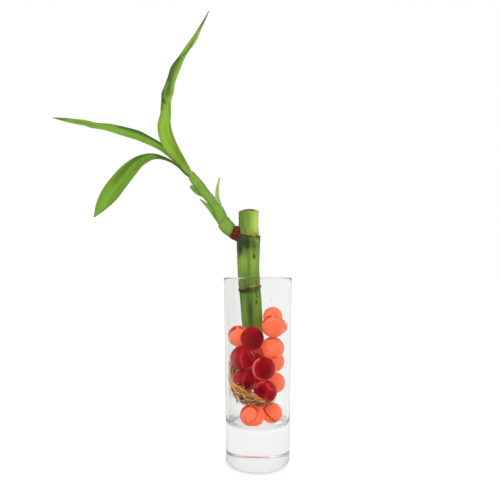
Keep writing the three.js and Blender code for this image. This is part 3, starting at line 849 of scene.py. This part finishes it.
LEFT_DARK = [
    (0.18, 0.9, 0.50, 0.95, 0.02, 0.34, 1.0), (0.50, 1.0, 0.64, 1.0, 0.02, 0.2, 0.7),
    (0.655, 0.2, 0.80, 0.3, 0.016, 0.16, 0.45), (0.655, -0.8, 0.63, -0.6, 0.012, 0.2, 0.7),
    (0.90, 0.0, 0.98, 0.0, 0.03, 0.9, 0.6),
]
LEFT_LIGHT = [
    (0.25, 0.25, 0.58, 0.35, 0.04, 0.2, 0.7), (0.20, -0.85, 0.60, -0.85, 0.03, 0.14, 0.55),
    (0.70, 0.0, 0.90, 0.1, 0.03, 0.3, 0.3),
]
DROOPING_DARK = [
    (0.0, 0.3, 0.27, 0.4, 0.05, 1.3, 1.0), (0.27, 0.8, 0.45, 0.85, 0.05, 0.35, 0.6),
    (0.50, 0.5, 0.66, 0.35, 0.05, 0.3, 0.35), (0.55, -1.0, 0.92, -1.0, 0.03, 0.07, 0.6),
]
DROOPING_LIGHT = [
    (0.74, 0.4, 0.94, 0.3, 0.06, 0.5, 0.7), (0.45, -0.1, 0.86, 0.0, 0.03, 0.08, 0.6),
    (0.36, -0.9, 0.55, -0.9, 0.03, 0.14, 0.5),
]

# Margins widen or narrow one side of a blade: t, side, half width along t, millimetres.
UPRIGHT_MARGINS = [(0.565, -1, 0.035, 0.65), (0.655, -1, 0.03, -0.5), (0.37, 1, 0.035, 0.5)]
LEFT_MARGINS = [(0.655, -1, 0.022, 0.7), (0.72, -1, 0.025, -0.35)]

EDGE_THICKNESS = 0.12


def stroke(rows, t, u):
    """How far a place on a blade lies inside the strokes, 0 to 1."""
    total = 0
    for t0, u0, t1, u1, tall, wide, strength in rows:
        way = ((t1 - t0) / tall, (u1 - u0) / wide)
        off = ((t - t0) / tall, (u - u0) / wide)
        share = limited((off[0] * way[0] + off[1] * way[1]) / (way[0] ** 2 + way[1] ** 2))
        total += strength * bell(math.hypot(off[0] - share * way[0], off[1] - share * way[1]), 1)
    return min(total, 1)


def blade(node, stations, material, slot, rib, rows=220, columns=36, wave=0.0, waves=0, fold=0.25,
          dark=(), light=(), margins=(), root=None):
    """A leaf blade: two faces that part at the rib and meet at the edges, from its root where it has one."""
    points, grain, tone = [], [], []
    entry = ROOT_ROWS if root else 0
    places = [(2 * j / columns - 1, -1) for j in range(columns + 1)]
    places += [(2 * j / columns - 1, 1) for j in range(columns - 1, 0, -1)]
    for i in range(-entry, rows):
        t = max(i, 0) / (rows - 1)
        row = along(stations, t)
        if i < 0:
            share = -i / entry
            row = row * (1 - share) + np.array([*root, row[4], row[5]]) * share
        ahead = heading(stations, t)
        front = square(Vector((0, -1, 0)), ahead)
        across = ahead.cross(front)
        angle = math.radians(row[4])
        side = across * math.cos(angle) + front * math.sin(angle)
        face = front * math.cos(angle) - across * math.sin(angle)
        bend = max(abs(row[5]), 0.05)
        ripple = wave * math.sin(TURN * waves * t) * math.sin(math.pi * t)
        taper = min(1, 6 * (1 - t) + 0.35)
        for u, sign in places:
            lobe = noise.noise(Vector((u * 0.9, t * 9, stations[0][0]))) * 0.35
            width = row[3]
            width += sum(amount * bell(t - at, wide) for at, way, wide, amount in margins if u * way > 0)
            thick = taper * (EDGE_THICKNESS + (rib - EDGE_THICKNESS) * (1 - u * u) ** 0.7)
            sideways = width * math.sin(bend * u) / bend - sign * thick * math.sin(bend * u) / 2
            upward = width * (1 - math.cos(bend * u)) / bend + (ripple + lobe) * u * u
            upward -= fold * taper * bell(u, 0.1)
            upward += sign * thick * math.cos(bend * u) / 2
            points.append(Vector(row[:3]) + side * sideways + face * upward)
            grain.append((u, t, sign))
            tone.append((stroke(dark, t, u), stroke(light, t, u), 0))
    rows += entry
    count = 2 * columns
    faces = ring_faces(rows, count, caps=False)
    for first, way in ((0, -1), ((rows - 1) * count, 1)):
        for j in range(columns):
            quad = (first + j, first + j + 1, first + count - j - 1, first + (count - j) % count)
            corners = tuple(dict.fromkeys(quad[::way]))
            if len(corners) > 2:
                faces.append(corners)
    make_piece(f"{node}_blade", points, faces, material, slot, node, grain=grain, tone=tone)


def leaf_material(name, leaf, base, edge, light, veins=22, base_pale=0.3, dry=0.97):
    """Leaf tissue with parallel veins, soft streaks, a lighter rib, a dried tip and the painted shade and
    painted light of the blade's strokes.
    """
    surface = Surface(name, Specular_IOR_Level=0.15)
    u, t, face = surface.drawn("grain")
    dark, bright, _ = surface.drawn("tone")
    band = surface.noise(1.4, 2.0, where=surface.join(u * 1.7, t * 3.0, face))
    fibre = surface.noise(1.0, 3.0, where=surface.join(u * 6.0, t * 4.0, face))
    thread = surface.noise(1.0, 2.0, where=surface.join(u * 24.0, t * 6.0, face))
    cloud = surface.noise(90.0, 3.0)
    vein = (u * (veins * math.pi) + fibre * 2.0).sine()
    colour = surface.coats(
        base,
        (band.above(0.35, 0.68) * 0.55, light),
        # Painted light from the light strokes.
        ((bright * (0.65 + fibre * 0.6)).clamp(), light),
        (fibre.above(0.5, 0.75) * 0.3, edge),
        (cloud.above(0.45, 0.7) * 0.3, light),
        (thread.above(0.55, 0.8) * 0.16, edge),
        (vein.above(0.5, 1.0) * 0.08, leaf.pale),
        ((1 - abs(u).above(0.02, 0.09)) * 0.35, light),
        # Painted shade from the dark strokes, in the edge colour.
        ((dark * (0.7 + fibre * 0.5)).clamp(), edge),
        (abs(u).above(0.95, 0.99) * 0.35, leaf.pale),
        ((1 - t.above(0.0, 0.08)) * base_pale, leaf.pale),
        ((t + (fibre - 0.5) * 0.05).above(dry, dry + 0.05), leaf.tip),
    )
    return surface.finish(colour, 0.4 + cloud * 0.16 + thread * 0.08, vein * 0.3 + thread * 0.5, 0.18, 0.15)


class LUCKY_OT_leaves(bpy.types.Operator):
    """Builds the three long leaves"""
    bl_idname = "lucky_bamboo.leaves"
    bl_label = "Leaves"

    def execute(self, context):
        leaf = context.scene.lucky_leaf
        rib = leaf.thickness / MM
        upright = leaf_material("leaf_upright_skin", leaf, srgb(110, 148, 36), leaf.shade, leaf.bright,
                                dry=0.9)
        left = leaf_material("leaf_left_skin", leaf, leaf.middle, leaf.shade, srgb(118, 158, 40))
        drooping = leaf_material("leaf_drooping_skin", leaf, srgb(92, 134, 30), srgb(30, 64, 10),
                                 srgb(116, 158, 40), base_pale=0.0)
        blade("leaf_upright", LEAF_UPRIGHT, upright, "leaf", rib,
              dark=UPRIGHT_DARK, light=UPRIGHT_LIGHT, margins=UPRIGHT_MARGINS)
        blade("leaf_left", LEAF_LEFT, left, "leaf", rib, wave=0.5, waves=3,
              dark=LEFT_DARK, light=LEFT_LIGHT, margins=LEFT_MARGINS, root=LEFT_ROOT)
        blade("leaf_drooping", LEAF_DROOPING, drooping, "leaf", rib, fold=0.15,
              dark=DROOPING_DARK, light=DROOPING_LIGHT, root=DROOPING_ROOT)
        return {"FINISHED"}


class LUCKY_OT_bracts(bpy.types.Operator):
    """Builds the two small pointed bracts and the stub of a third"""
    bl_idname = "lucky_bamboo.bracts"
    bl_label = "Bracts"

    def execute(self, context):
        leaf = context.scene.lucky_leaf
        young = leaf_material("bract_skin", leaf, srgb(112, 148, 54), srgb(78, 110, 36), srgb(146, 178, 86),
                              veins=6, base_pale=0.0, dry=0.92)
        white = leaf_material("bract_pale_skin", leaf, srgb(140, 172, 88), srgb(104, 136, 60),
                              srgb(180, 204, 136), veins=6, base_pale=0.0, dry=0.93)
        for node, stations, material in (
            ("bract_right", BRACT_RIGHT, white),
            ("bract_left", BRACT_LEFT, young),
            ("bract_stub", BRACT_STUB, young),
        ):
            blade(node, stations, material, "bract", 0.55, rows=90, columns=24)
        return {"FINISHED"}


# Beads

CRIMSON_BEADS = ("bead_03", "bead_07", "bead_09", "bead_10", "bead_11", "bead_12", "bead_14")
SQUEEZED_BEAD = "bead_02"
BULGE_WAY = Vector((0.9, 0.42, -0.1)).normalized()
FOLD_WAVER = 0.06


def bead_names():
    return sorted(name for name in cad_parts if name.startswith("bead_"))


def bead_ball(name):
    """Centre and radius of a bead in metres. Its height has no bulge in it."""
    low, high = (Vector(corner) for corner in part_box(name))
    radius = (high.z - low.z) / 2
    centre = (low + high) / 2
    if name == SQUEEZED_BEAD:
        centre = Vector((low.x + radius, low.y + radius, centre.z))
    return centre, radius


def ring(u, v, radius, start=0, end=360):
    """Points of a circle or an arc on the front of a ball."""
    angles = [math.radians(start + (end - start) * i / 20) for i in range(21)]
    return [(u + radius * math.cos(angle), v + radius * math.sin(angle)) for angle in angles]


def outline(start, end, strength):
    """A thin line just inside the outline of a ball: painted shade in a dark list, a painted highlight in a
    light list.
    """
    return (ring(0, 0, 0.95, start, end), 0.05, strength)


# Folds, veins and cores that show in the gel, with painted shade along the outlines and painted highlights: the
# line across and up the ball's front, from -1 to 1, its half width and strength. The first list of a bead
# darkens it and the second lightens it with painted highlights.
FOLDS_AND_PAINTED_LIGHT = {
    "bead_01": ([outline(60, 150, 0.72)], []),
    "bead_02": (
        [([(-0.88, 0.36), (-0.66, 0.72), (-0.27, 0.92)], 0.09, 1.0),
         (ring(0, 0, 0.94, 30, 110), 0.05, 0.63), ([(0.18, 0.82)], 0.13, 0.35),
         ([(0.86, 0.12), (0.97, -0.2)], 0.05, 0.9), outline(190, 330, 0.63)],
        [],
    ),
    "bead_03": (
        [([(-0.05, -0.12)], 0.42, 0.15), (ring(-0.05, -0.12, 0.34), 0.04, 0.35),
         ([(0.22, 0.05)], 0.85, 0.5), (ring(0.1, 0, 0.72, -70, 150), 0.05, 0.4),
         (ring(0, 0, 1.0), 0.08, 0.4)],
        [(ring(-0.05, -0.12, 0.24), 0.025, 0.22), (ring(-0.05, -0.1, 0.47, 100, 290), 0.03, 0.2),
         (ring(0, 0, 0.9, 195, 250), 0.03, 0.4)],
    ),
    "bead_04": (
        [([(-0.95, 0.0), (-0.83, 0.37), (-0.58, 0.62), (-0.25, 0.84)], 0.1, 2.5),
         ([(0.15, 0.9), (0.46, 0.76)], 0.08, 1.2), (ring(0, 0, 0.95, 165, 235), 0.06, 1.5),
         ([(-0.42, -0.4), (-0.55, -0.62)], 0.05, 0.8)],
        [],
    ),
    "bead_05": (
        [outline(-15, 115, 0.9), ([(-0.14, -0.76), (0.12, -0.66), (0.4, -0.62)], 0.05, 0.9),
         ([(-0.55, -0.07)], 0.05, 0.8), ([(-0.8, -0.38)], 0.05, 0.6),
         (ring(0, 0, 0.97, 180, 250), 0.05, 0.9)],
        [],
    ),
    "bead_06": ([([(0, 0)], 3.0, 0.75)], []),
    "bead_07": (
        [([(0.45, 0.3), (0.7, 0.1), (0.6, -0.35)], 0.13, 0.5),
         ([(0.35, 0.5), (0.5, 0.1), (0.3, -0.3)], 0.05, 0.5), (ring(0, 0, 1.0), 0.07, 0.4),
         ([(-0.5, 0.6), (-0.2, 0.75)], 0.06, 0.4)],
        [([(0.05, 0.75), (-0.12, 0.0), (0.08, -0.72)], 0.035, 0.4),
         ([(-0.58, 0.45), (-0.74, -0.2), (-0.4, -0.7)], 0.05, 0.35),
         ([(0.6, 0.62), (0.88, 0.3), (0.97, -0.04)], 0.035, 0.75),
         ([(0.3, 0.7), (0.62, 0.2), (0.75, -0.2)], 0.03, 0.35)],
    ),
    "bead_08": ([outline(0, 80, 1)], []),
    "bead_10": (
        [([(0.15, 0.05)], 0.8, 0.58), ([(0.12, -0.2)], 0.38, 0.18), (ring(0.12, -0.2, 0.36), 0.035, 0.4),
         (ring(0.15, 0, 0.95, -70, 120), 0.05, 0.4)],
        [(ring(0.05, 0.03, 0.98, 118, 292), 0.085, 1.0), (ring(0.12, -0.22, 0.3, -60, 200), 0.025, 0.3),
         (ring(0.15, -0.05, 0.62, -40, 40), 0.035, 0.45)],
    ),
    "bead_11": (
        [([(0.28, -0.05)], 0.45, 0.95), (ring(0.3, 0, 0.6, 90, 270), 0.04, 0.4),
         (ring(0, 0, 1.0), 0.07, 0.3)],
        [([(0.15, 0.88), (-0.15, 0.2), (-0.05, -0.5)], 0.035, 0.5), outline(195, 262, 1),
         ([(-0.62, 0.3), (-0.7, -0.3)], 0.06, 0.05)],
    ),
    "bead_14": (
        [([(0.36, -0.2)], 0.36, 0.45), ([(-0.4, 0.25)], 0.42, 0.9),
         (ring(0.36, -0.2, 0.42, 60, 330), 0.03, 0.4)],
        [(ring(0, 0, 0.93, 95, 150), 0.05, 0.5), outline(190, 265, 0.99),
         (ring(0.36, -0.2, 0.34, 100, 300), 0.03, 0.4),
         ([(0.1, 0.8), (0.4, 0.4), (0.6, 0.35)], 0.06, 0.4)],
    ),
    "bead_15": (
        [([(0.31, 0.75), (0.4, 0.33), (0.14, -0.09), (-0.19, -0.35)], 0.06, 0.6),
         ([(-0.62, 0.08), (-0.45, -0.35), (-0.19, -0.77)], 0.045, 0.7), outline(215, 305, 1),
         outline(110, 215, 1)],
        [],
    ),
    "bead_16": (
        [([(-0.95, 0.72), (-0.5, 0.15), (0.2, -0.55)], 0.1, 0.85), outline(90, 200, 1),
         ([(-0.5, 0.6), (0.1, 0.1)], 0.04, 0.5)],
        [],
    ),
}


def drawn_lines(rows, flat):
    """How far places on a ball's front, seen flat, lie inside the lines."""
    total = np.zeros(len(flat))
    for line, width, strength in rows:
        near = np.full(len(flat), 9.0)
        for start, end in zip(line, line[1:] or line):
            run = np.subtract(end, start)
            share = np.clip((flat - start) @ run / max(run @ run, 1e-9), 0, 1)
            near = np.minimum(near, np.linalg.norm(flat - start - share[:, None] * run, axis=1))
        total += strength * np.exp(-(near / width) ** 2)
    return np.clip(total, 0, 1)


def gel_material(name, tint, deep, pale):
    """Clear wet gel with cloudy veils, the folds, painted shade and painted highlights drawn on a bead's front,
    loose creases round its back and a faint painted glow in its own colour.
    """
    # The emission is painted light: the gel glows faintly in its own colour.
    surface = Surface(name, IOR=1.18, Transmission_Weight=0.35, Specular_Tint=(0.2, 0.2, 0.2),
                      Emission_Strength=0.2)
    dark, light, around = surface.drawn("fold")
    veil = surface.noise(130.0, 3.0)
    speck = surface.noise(520.0, 2.0)
    bend = surface.noise(75.0, 1.0)
    patch = surface.noise(110.0, 0.0, (1, 1, 1.4))
    crease = (1 - abs(bend - 0.5).above(0.004, 0.02)) * patch.above(0.5, 0.62) * around
    colour = surface.coats(
        tint,
        (veil.above(0.42, 0.7) * 0.12, deep),
        (speck.above(0.66, 0.76) * 0.3, deep),
        # Painted highlights from the light lists; folds, creases and painted shade from the dark lists.
        (light, pale),
        ((dark + crease * 0.8).clamp(), deep),
    )
    # Painted light: the glow takes the bead's colour.
    surface.set("Emission Color", colour)
    height = veil * 0.7 + speck * 0.2 - dark * 0.4
    return surface.finish(colour, 0.01 + speck.above(0.6, 0.8) * 0.05, height, 0.10, 0.5)


class LUCKY_OT_beads(bpy.types.Operator):
    """Builds the swollen gel beads"""
    bl_idname = "lucky_bamboo.beads"
    bl_label = "Gel Beads"

    def execute(self, context):
        gel = context.scene.lucky_beads
        # The last colour of each material is its painted highlight.
        materials = {
            "orange_gel": gel_material("orange_gel", gel.orange, gel.crease, srgb(255, 160, 124)),
            "crimson_gel": gel_material("crimson_gel", gel.crimson, gel.core, srgb(255, 132, 104)),
        }
        for number, name in enumerate(bead_names()):
            slot = "crimson_gel" if name in CRIMSON_BEADS else "orange_gel"
            self.bead(name, number + gel.seed, gel, materials[slot], slot)
        return {"FINISHED"}

    def bead(self, name, seed, gel, material, slot):
        """A slightly uneven ball, squeezed out to one side where the setting says so."""
        centre, radius = bead_ball(name)
        swell = gel.bulge if name == SQUEEZED_BEAD else 0
        build = bmesh.new()
        bmesh.ops.create_icosphere(build, subdivisions=5, radius=1)
        ways = [vertex.co.normalized() for vertex in build.verts]
        faces = [tuple(vertex.index for vertex in face.verts) for face in build.faces]
        build.free()
        points, flat = [], []
        for way in ways:
            lump = noise.noise(way * 1.6 + Vector((seed * 3.1, seed, 0)))
            reach = radius + gel.uneven * (0.9 - lump) + swell * max(way.dot(BULGE_WAY), 0) ** 8
            points.append((centre + way * reach) / MM)
            flat.append((way.x + FOLD_WAVER * noise.noise(way * 2.2 + Vector((seed, 3, 1))),
                         way.z + FOLD_WAVER * noise.noise(way * 2.2 + Vector((seed, 9, 4)))))
        dark, light = (drawn_lines(rows, np.array(flat)) for rows in FOLDS_AND_PAINTED_LIGHT.get(name, ((), ())))
        front = np.clip([0.5 - 2.5 * way.y for way in ways], 0, 1) ** 2
        # The fold columns: folds and painted shade, painted highlights, and the back where loose creases go.
        fold = np.column_stack([dark * front, light * front, 1 - front])
        make_piece(f"gel_{name}", points, faces, material, slot, name, fold=fold)


# Roots

CROWN_X, CROWN_Y, CROWN_RADIUS = -2.5, 8.3, 3.6
ROOT_FLOOR = 22.6
BEAD_GAP = 0.2
GLASS_GAP = 0.3
LANES = 4
FIBRE_STEPS = 44
WHISKER_STEPS = 10


class RootRoom:
    """The room that the beads and the glass leave for the roots."""

    def __init__(self, glass, beads):
        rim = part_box("glass_vase")[1]
        self.foot, self.wall = glass.foot_radius / MM, glass.wall / MM
        self.slope = (rim[0] / MM - self.foot, rim[2] / MM)
        self.balls = []
        for name in bead_names():
            centre, radius = bead_ball(name)
            bulge = beads.bulge / MM if name == SQUEEZED_BEAD else 0
            self.balls.append((np.array(centre) / MM, radius / MM, bulge))

    def fit(self, points, radius, layer=0):
        """Pushes a fibre out of the beads and back inside the glass. Gives its places with their radii."""
        for _ in range(60):
            for centre, size, bulge in self.balls:
                away = points - centre
                gap = np.linalg.norm(away, axis=1)
                need = size + radius + BEAD_GAP + layer + bulge
                short = gap < need
                short[0] = False
                points[short] = centre + away[short] * (need[short] / gap[short])[:, None]
            reach = np.hypot(points[:, 0], points[:, 1])
            wall = self.foot + self.slope[0] * points[:, 2] / self.slope[1] - self.wall
            limit = wall - radius - GLASS_GAP
            over = reach > limit
            points[over, :2] *= (limit[over] / reach[over])[:, None]
            points[:, 2] = np.maximum(points[:, 2], ROOT_FLOOR)
        return np.column_stack([points, radius])


def root_material(roots):
    """Matt fibres from straw to dark brown, darker at the bottom of the ball with painted shade, and paler at
    their ends.
    """
    surface = Surface("root_fibre", Specular_IOR_Level=0.3)
    age, share, low = surface.drawn("grain")
    # Painted shade: fibres turn darker towards the bottom of the ball.
    age = age + low * 0.55 - 0.2
    mottle = surface.noise(900.0, 4.0)
    colour = surface.coats(
        roots.straw,
        (age.above(0.25, 0.6), roots.olive),
        (mottle.above(0.45, 0.7) * 0.4, roots.olive),
        (age.above(0.56, 0.62), roots.dark),
        (share.above(0.8, 1.0) * 0.4, roots.straw),
    )
    return surface.finish(colour, 0.55 + mottle * 0.25, mottle, 0.4, 0.12)


class LUCKY_OT_roots(bpy.types.Operator):
    """Builds the root ball: long fibres round the beads and short whiskers on them"""
    bl_idname = "lucky_bamboo.roots"
    bl_label = "Roots"

    def execute(self, context):
        roots = context.scene.lucky_roots
        draw = random.Random(roots.seed)
        room = RootRoom(context.scene.lucky_glass, context.scene.lucky_beads)
        self.points, self.faces, self.grain = [], [], []
        paths = []
        for number in range(roots.fibres):
            paths.append(self.fibre(draw, number % LANES, roots.radius / MM, room))
            self.strand(paths[-1], 5, draw.random())
        for _ in range(roots.whiskers):
            whisker = self.whisker(draw, paths[draw.randrange(len(paths))], room)
            self.strand(whisker, 4, draw.random())
        self.callus()
        make_piece("root_ball", self.points, self.faces, root_material(roots), "root_fibre", "roots",
                   grain=self.grain)
        return {"FINISHED"}

    def fibre(self, draw, lane, thick, room):
        """Path from under the cane round the back and left of the glass to the front below."""
        start = draw.random() * TURN
        begin = 85 + 90 * draw.random()
        end = 196 + 120 * draw.random()
        lift = 7 * draw.random() ** 1.2
        spread = 8 + 7.6 * draw.random() ** 0.6
        beat = draw.uniform(7, 20)
        swing = draw.uniform(0.5, 2.3)
        crown_x = CROWN_X + CROWN_RADIUS * math.cos(start)
        crown_y = CROWN_Y + CROWN_RADIUS * math.sin(start)
        rows = []
        for i in range(FIBRE_STEPS):
            t = i / (FIBRE_STEPS - 1)
            degrees = begin + (end - begin) * t ** 1.3
            turn = math.radians(degrees)
            reach = spread * (1 - 0.35 * max(t - 0.7, 0)) + 0.5 * swing * math.sin(beat * t + start)
            leave = min(t * 4, 1)
            rise = lift * limited((300 - degrees) / 60, 0.1)
            lowest = min(35.6 + 6 * (max(270 - degrees, 0) / 90) ** 2 + rise, 64)
            z = CANE_BOTTOM - 1 + (lowest - CANE_BOTTOM + 1) * min(t * 2.2, 1)
            x = crown_x * (1 - leave) + reach * math.cos(turn) * leave
            y = crown_y * (1 - leave) + reach * math.sin(turn) * leave
            # Low down the ball draws in from the left.
            x = max(x, -8.6 - 0.62 * max(z - 33.7, 0))
            rows.append((x, y, z + swing * math.sin(1.7 * beat * t + 2 * start) * leave))
        taper = thick * np.linspace(1, 0.4, FIBRE_STEPS) * (0.45 + 0.75 * draw.random())
        points = room.fit(np.array(rows), taper, lane * 0.3)[:, :3]
        for _ in range(2):
            points[1:-1] = (points[:-2] + 2 * points[1:-1] + points[2:]) / 4
        return room.fit(points, taper)

    def whisker(self, draw, path, room):
        """Path of a short fine side fibre."""
        at = draw.randrange(10, len(path) - 2)
        origin = path[at, :3]
        ahead = path[at + 1, :3] - origin
        way = ahead / np.linalg.norm(ahead)
        way = way * 0.6 + np.array([draw.uniform(-1, 1), draw.uniform(-1, 1), draw.uniform(-0.9, 0.5)])
        way = way / np.linalg.norm(way)
        curl = np.array([draw.uniform(-1, 1), draw.uniform(-1, 1), draw.uniform(-1, 1)])
        length = draw.uniform(2, 6.5)
        share = np.linspace(0, 1, WHISKER_STEPS)[:, None]
        points = origin + way * length * share + curl * 1.8 * share ** 2
        return room.fit(points, np.linspace(0.19, 0.07, WHISKER_STEPS))

    def add(self, points, faces, grain):
        base = len(self.points)
        self.points += points
        self.faces += [tuple(base + v for v in face) for face in faces]
        self.grain += grain

    def strand(self, path, sides, age):
        """A round fibre along a path. Its grain is its age, the share of its length and how low it lies."""
        rows = len(path)
        points, grain = [], []
        side = Vector((1, 0, 0))
        for i in range(rows):
            ahead = Vector(path[min(i + 1, rows - 1), :3] - path[max(i - 1, 0), :3])
            ahead = ahead.normalized() if ahead.length else Vector((0, 0, -1))
            side = square(side, ahead)
            points += [Vector(path[i, :3]) + out * path[i, 3] for _, out in spokes(side, ahead, sides)]
            grain += [(age, i / (rows - 1), self.low(path[i]))] * sides
        for end, share in ((path[0], 0), (path[-1], 1)):
            points.append(Vector(end[:3]))
            grain.append((age, share, self.low(end)))
        self.add(points, ring_faces(rows, sides), grain)

    def low(self, place):
        """How far a place lies in the bottom of the root ball, which is painted darker as shade."""
        return limited((40 - place[2]) / 5)

    def callus(self):
        """The knobbly disc under the cane that the fibres grow from."""
        line = [[CROWN_X, CROWN_Y, CANE_BOTTOM - drop, radius]
                for drop, radius in ((0.05, 5.2), (0.9, 5.4), (1.7, 4.4))]

        def knobs(t, turn, row):
            return 0.25 * math.sin(9 * turn) * math.sin(3 * t)

        points, faces, _ = tube(line, 14, 48, knobs)
        self.add(points, faces, [(0.8, 0.2, 0)] * len(points))


# Stage

class LUCKY_OT_stage(bpy.types.Operator):
    """Builds the camera, the soft light, the white surround and the pale floor"""
    bl_idname = "lucky_bamboo.stage"
    bl_label = "Stage"

    def execute(self, context):
        stage = context.scene.lucky_stage
        self.camera(context, stage)
        self.surround(context, stage)
        self.sun("key_light", (-0.55, -0.65, 0.75), 35, stage.key)
        self.sun("fill_light", (0.7, -0.5, 0.4), 60, stage.fill)
        self.sun("top_light", (0.05, 0.1, 1), 90, stage.top)
        self.floor()
        return {"FINISHED"}

    def camera(self, context, stage):
        data = bpy.data.cameras.new("camera")
        data.lens = stage.lens
        data.sensor_width = 36
        data.shift_y = stage.shift
        data.clip_start = 0.01
        camera = add_object("camera", data)
        camera.location = (-stage.aside, -stage.distance, stage.eye_height)
        camera.rotation_euler = (math.pi / 2, 0, 0)
        context.scene.camera = camera

    def surround(self, context, stage):
        """White all round, and greyer where clear and wet things mirror it, so that their edges show."""
        world = bpy.data.worlds.new("surround")
        world.use_nodes = True
        context.scene.world = world
        paint = Paint(world.node_tree)
        mirrored = paint.node("ShaderNodeLightPath", {}, {}, "Is Glossy Ray")
        passed = paint.node("ShaderNodeLightPath", {}, {}, "Is Transmission Ray")
        shade = paint.mix(mirrored * (1 - passed), (1, 1, 1), (0.68, 0.68, 0.68))
        background = world.node_tree.nodes["Background"]
        paint.feed(background.inputs["Color"], shade)
        paint.feed(background.inputs["Strength"], stage.sky)
        context.scene.view_settings.view_transform = "Standard"

    def sun(self, name, place, width, power):
        """A soft light from one direction; width is how wide it looks, in degrees."""
        data = bpy.data.lights.new(name, "SUN")
        data.angle = math.radians(width)
        data.energy = power
        lamp = add_object(name, data)
        lamp.location = place
        lamp.rotation_euler = (-lamp.location).to_track_quat("-Z", "Y").to_euler()

    def floor(self):
        """A pale floor that only the camera sees straight: glass and wet gel show the surround instead."""
        size = 40
        low = -0.05 * MM
        corners = [(-size, -size, low), (size, -size, low), (size, size, low), (-size, size, low)]
        mesh = bpy.data.meshes.new("floor")
        mesh.from_pydata(corners, [], [(0, 1, 2, 3)])
        surface = Surface("pale_floor", Roughness=0.9, Specular_IOR_Level=0.1)
        cloud = surface.noise(3.0, 2.0)
        surface.set("Base Color", surface.mix(cloud, (0.93, 0.93, 0.93), (0.96, 0.96, 0.96)))
        mesh.materials.append(surface.material)
        floor = add_object("floor", mesh)
        floor.visible_glossy = False
        floor.visible_transmission = False


class LUCKY_PT_panel(bpy.types.Panel):
    """Lists the pieces of the lucky bamboo"""
    bl_idname = "LUCKY_PT_panel"
    bl_label = "Lucky Bamboo"
    bl_space_type = "VIEW_3D"
    bl_region_type = "UI"
    bl_category = "Lucky Bamboo"

    def draw(self, context):
        for operator in OPERATORS:
            self.layout.operator(operator.bl_idname)


SETTINGS = {
    "lucky_glass": GlassSettings,
    "lucky_cane": CaneSettings,
    "lucky_leaf": LeafSettings,
    "lucky_beads": BeadSettings,
    "lucky_roots": RootSettings,
    "lucky_stage": StageSettings,
}
OPERATORS = (
    LUCKY_OT_stage, LUCKY_OT_glass, LUCKY_OT_cane, LUCKY_OT_collar, LUCKY_OT_shoot, LUCKY_OT_leaves,
    LUCKY_OT_bracts, LUCKY_OT_beads, LUCKY_OT_roots,
)


def register():
    for made in (*SETTINGS.values(), *OPERATORS, LUCKY_PT_panel):
        bpy.utils.register_class(made)
    for name, group in SETTINGS.items():
        setattr(bpy.types.Scene, name, PointerProperty(type=group))


def unregister():
    for name in SETTINGS:
        delattr(bpy.types.Scene, name)
    for made in (LUCKY_PT_panel, *reversed(OPERATORS), *SETTINGS.values()):
        bpy.utils.unregister_class(made)


def main():
    register()
    bpy.ops.lucky_bamboo.stage()
    bpy.ops.lucky_bamboo.glass()
    bpy.ops.lucky_bamboo.cane()
    bpy.ops.lucky_bamboo.collar()
    bpy.ops.lucky_bamboo.shoot()
    bpy.ops.lucky_bamboo.leaves()
    bpy.ops.lucky_bamboo.bracts()
    bpy.ops.lucky_bamboo.beads()
    bpy.ops.lucky_bamboo.roots()


if __name__ == "__main__":
    main()
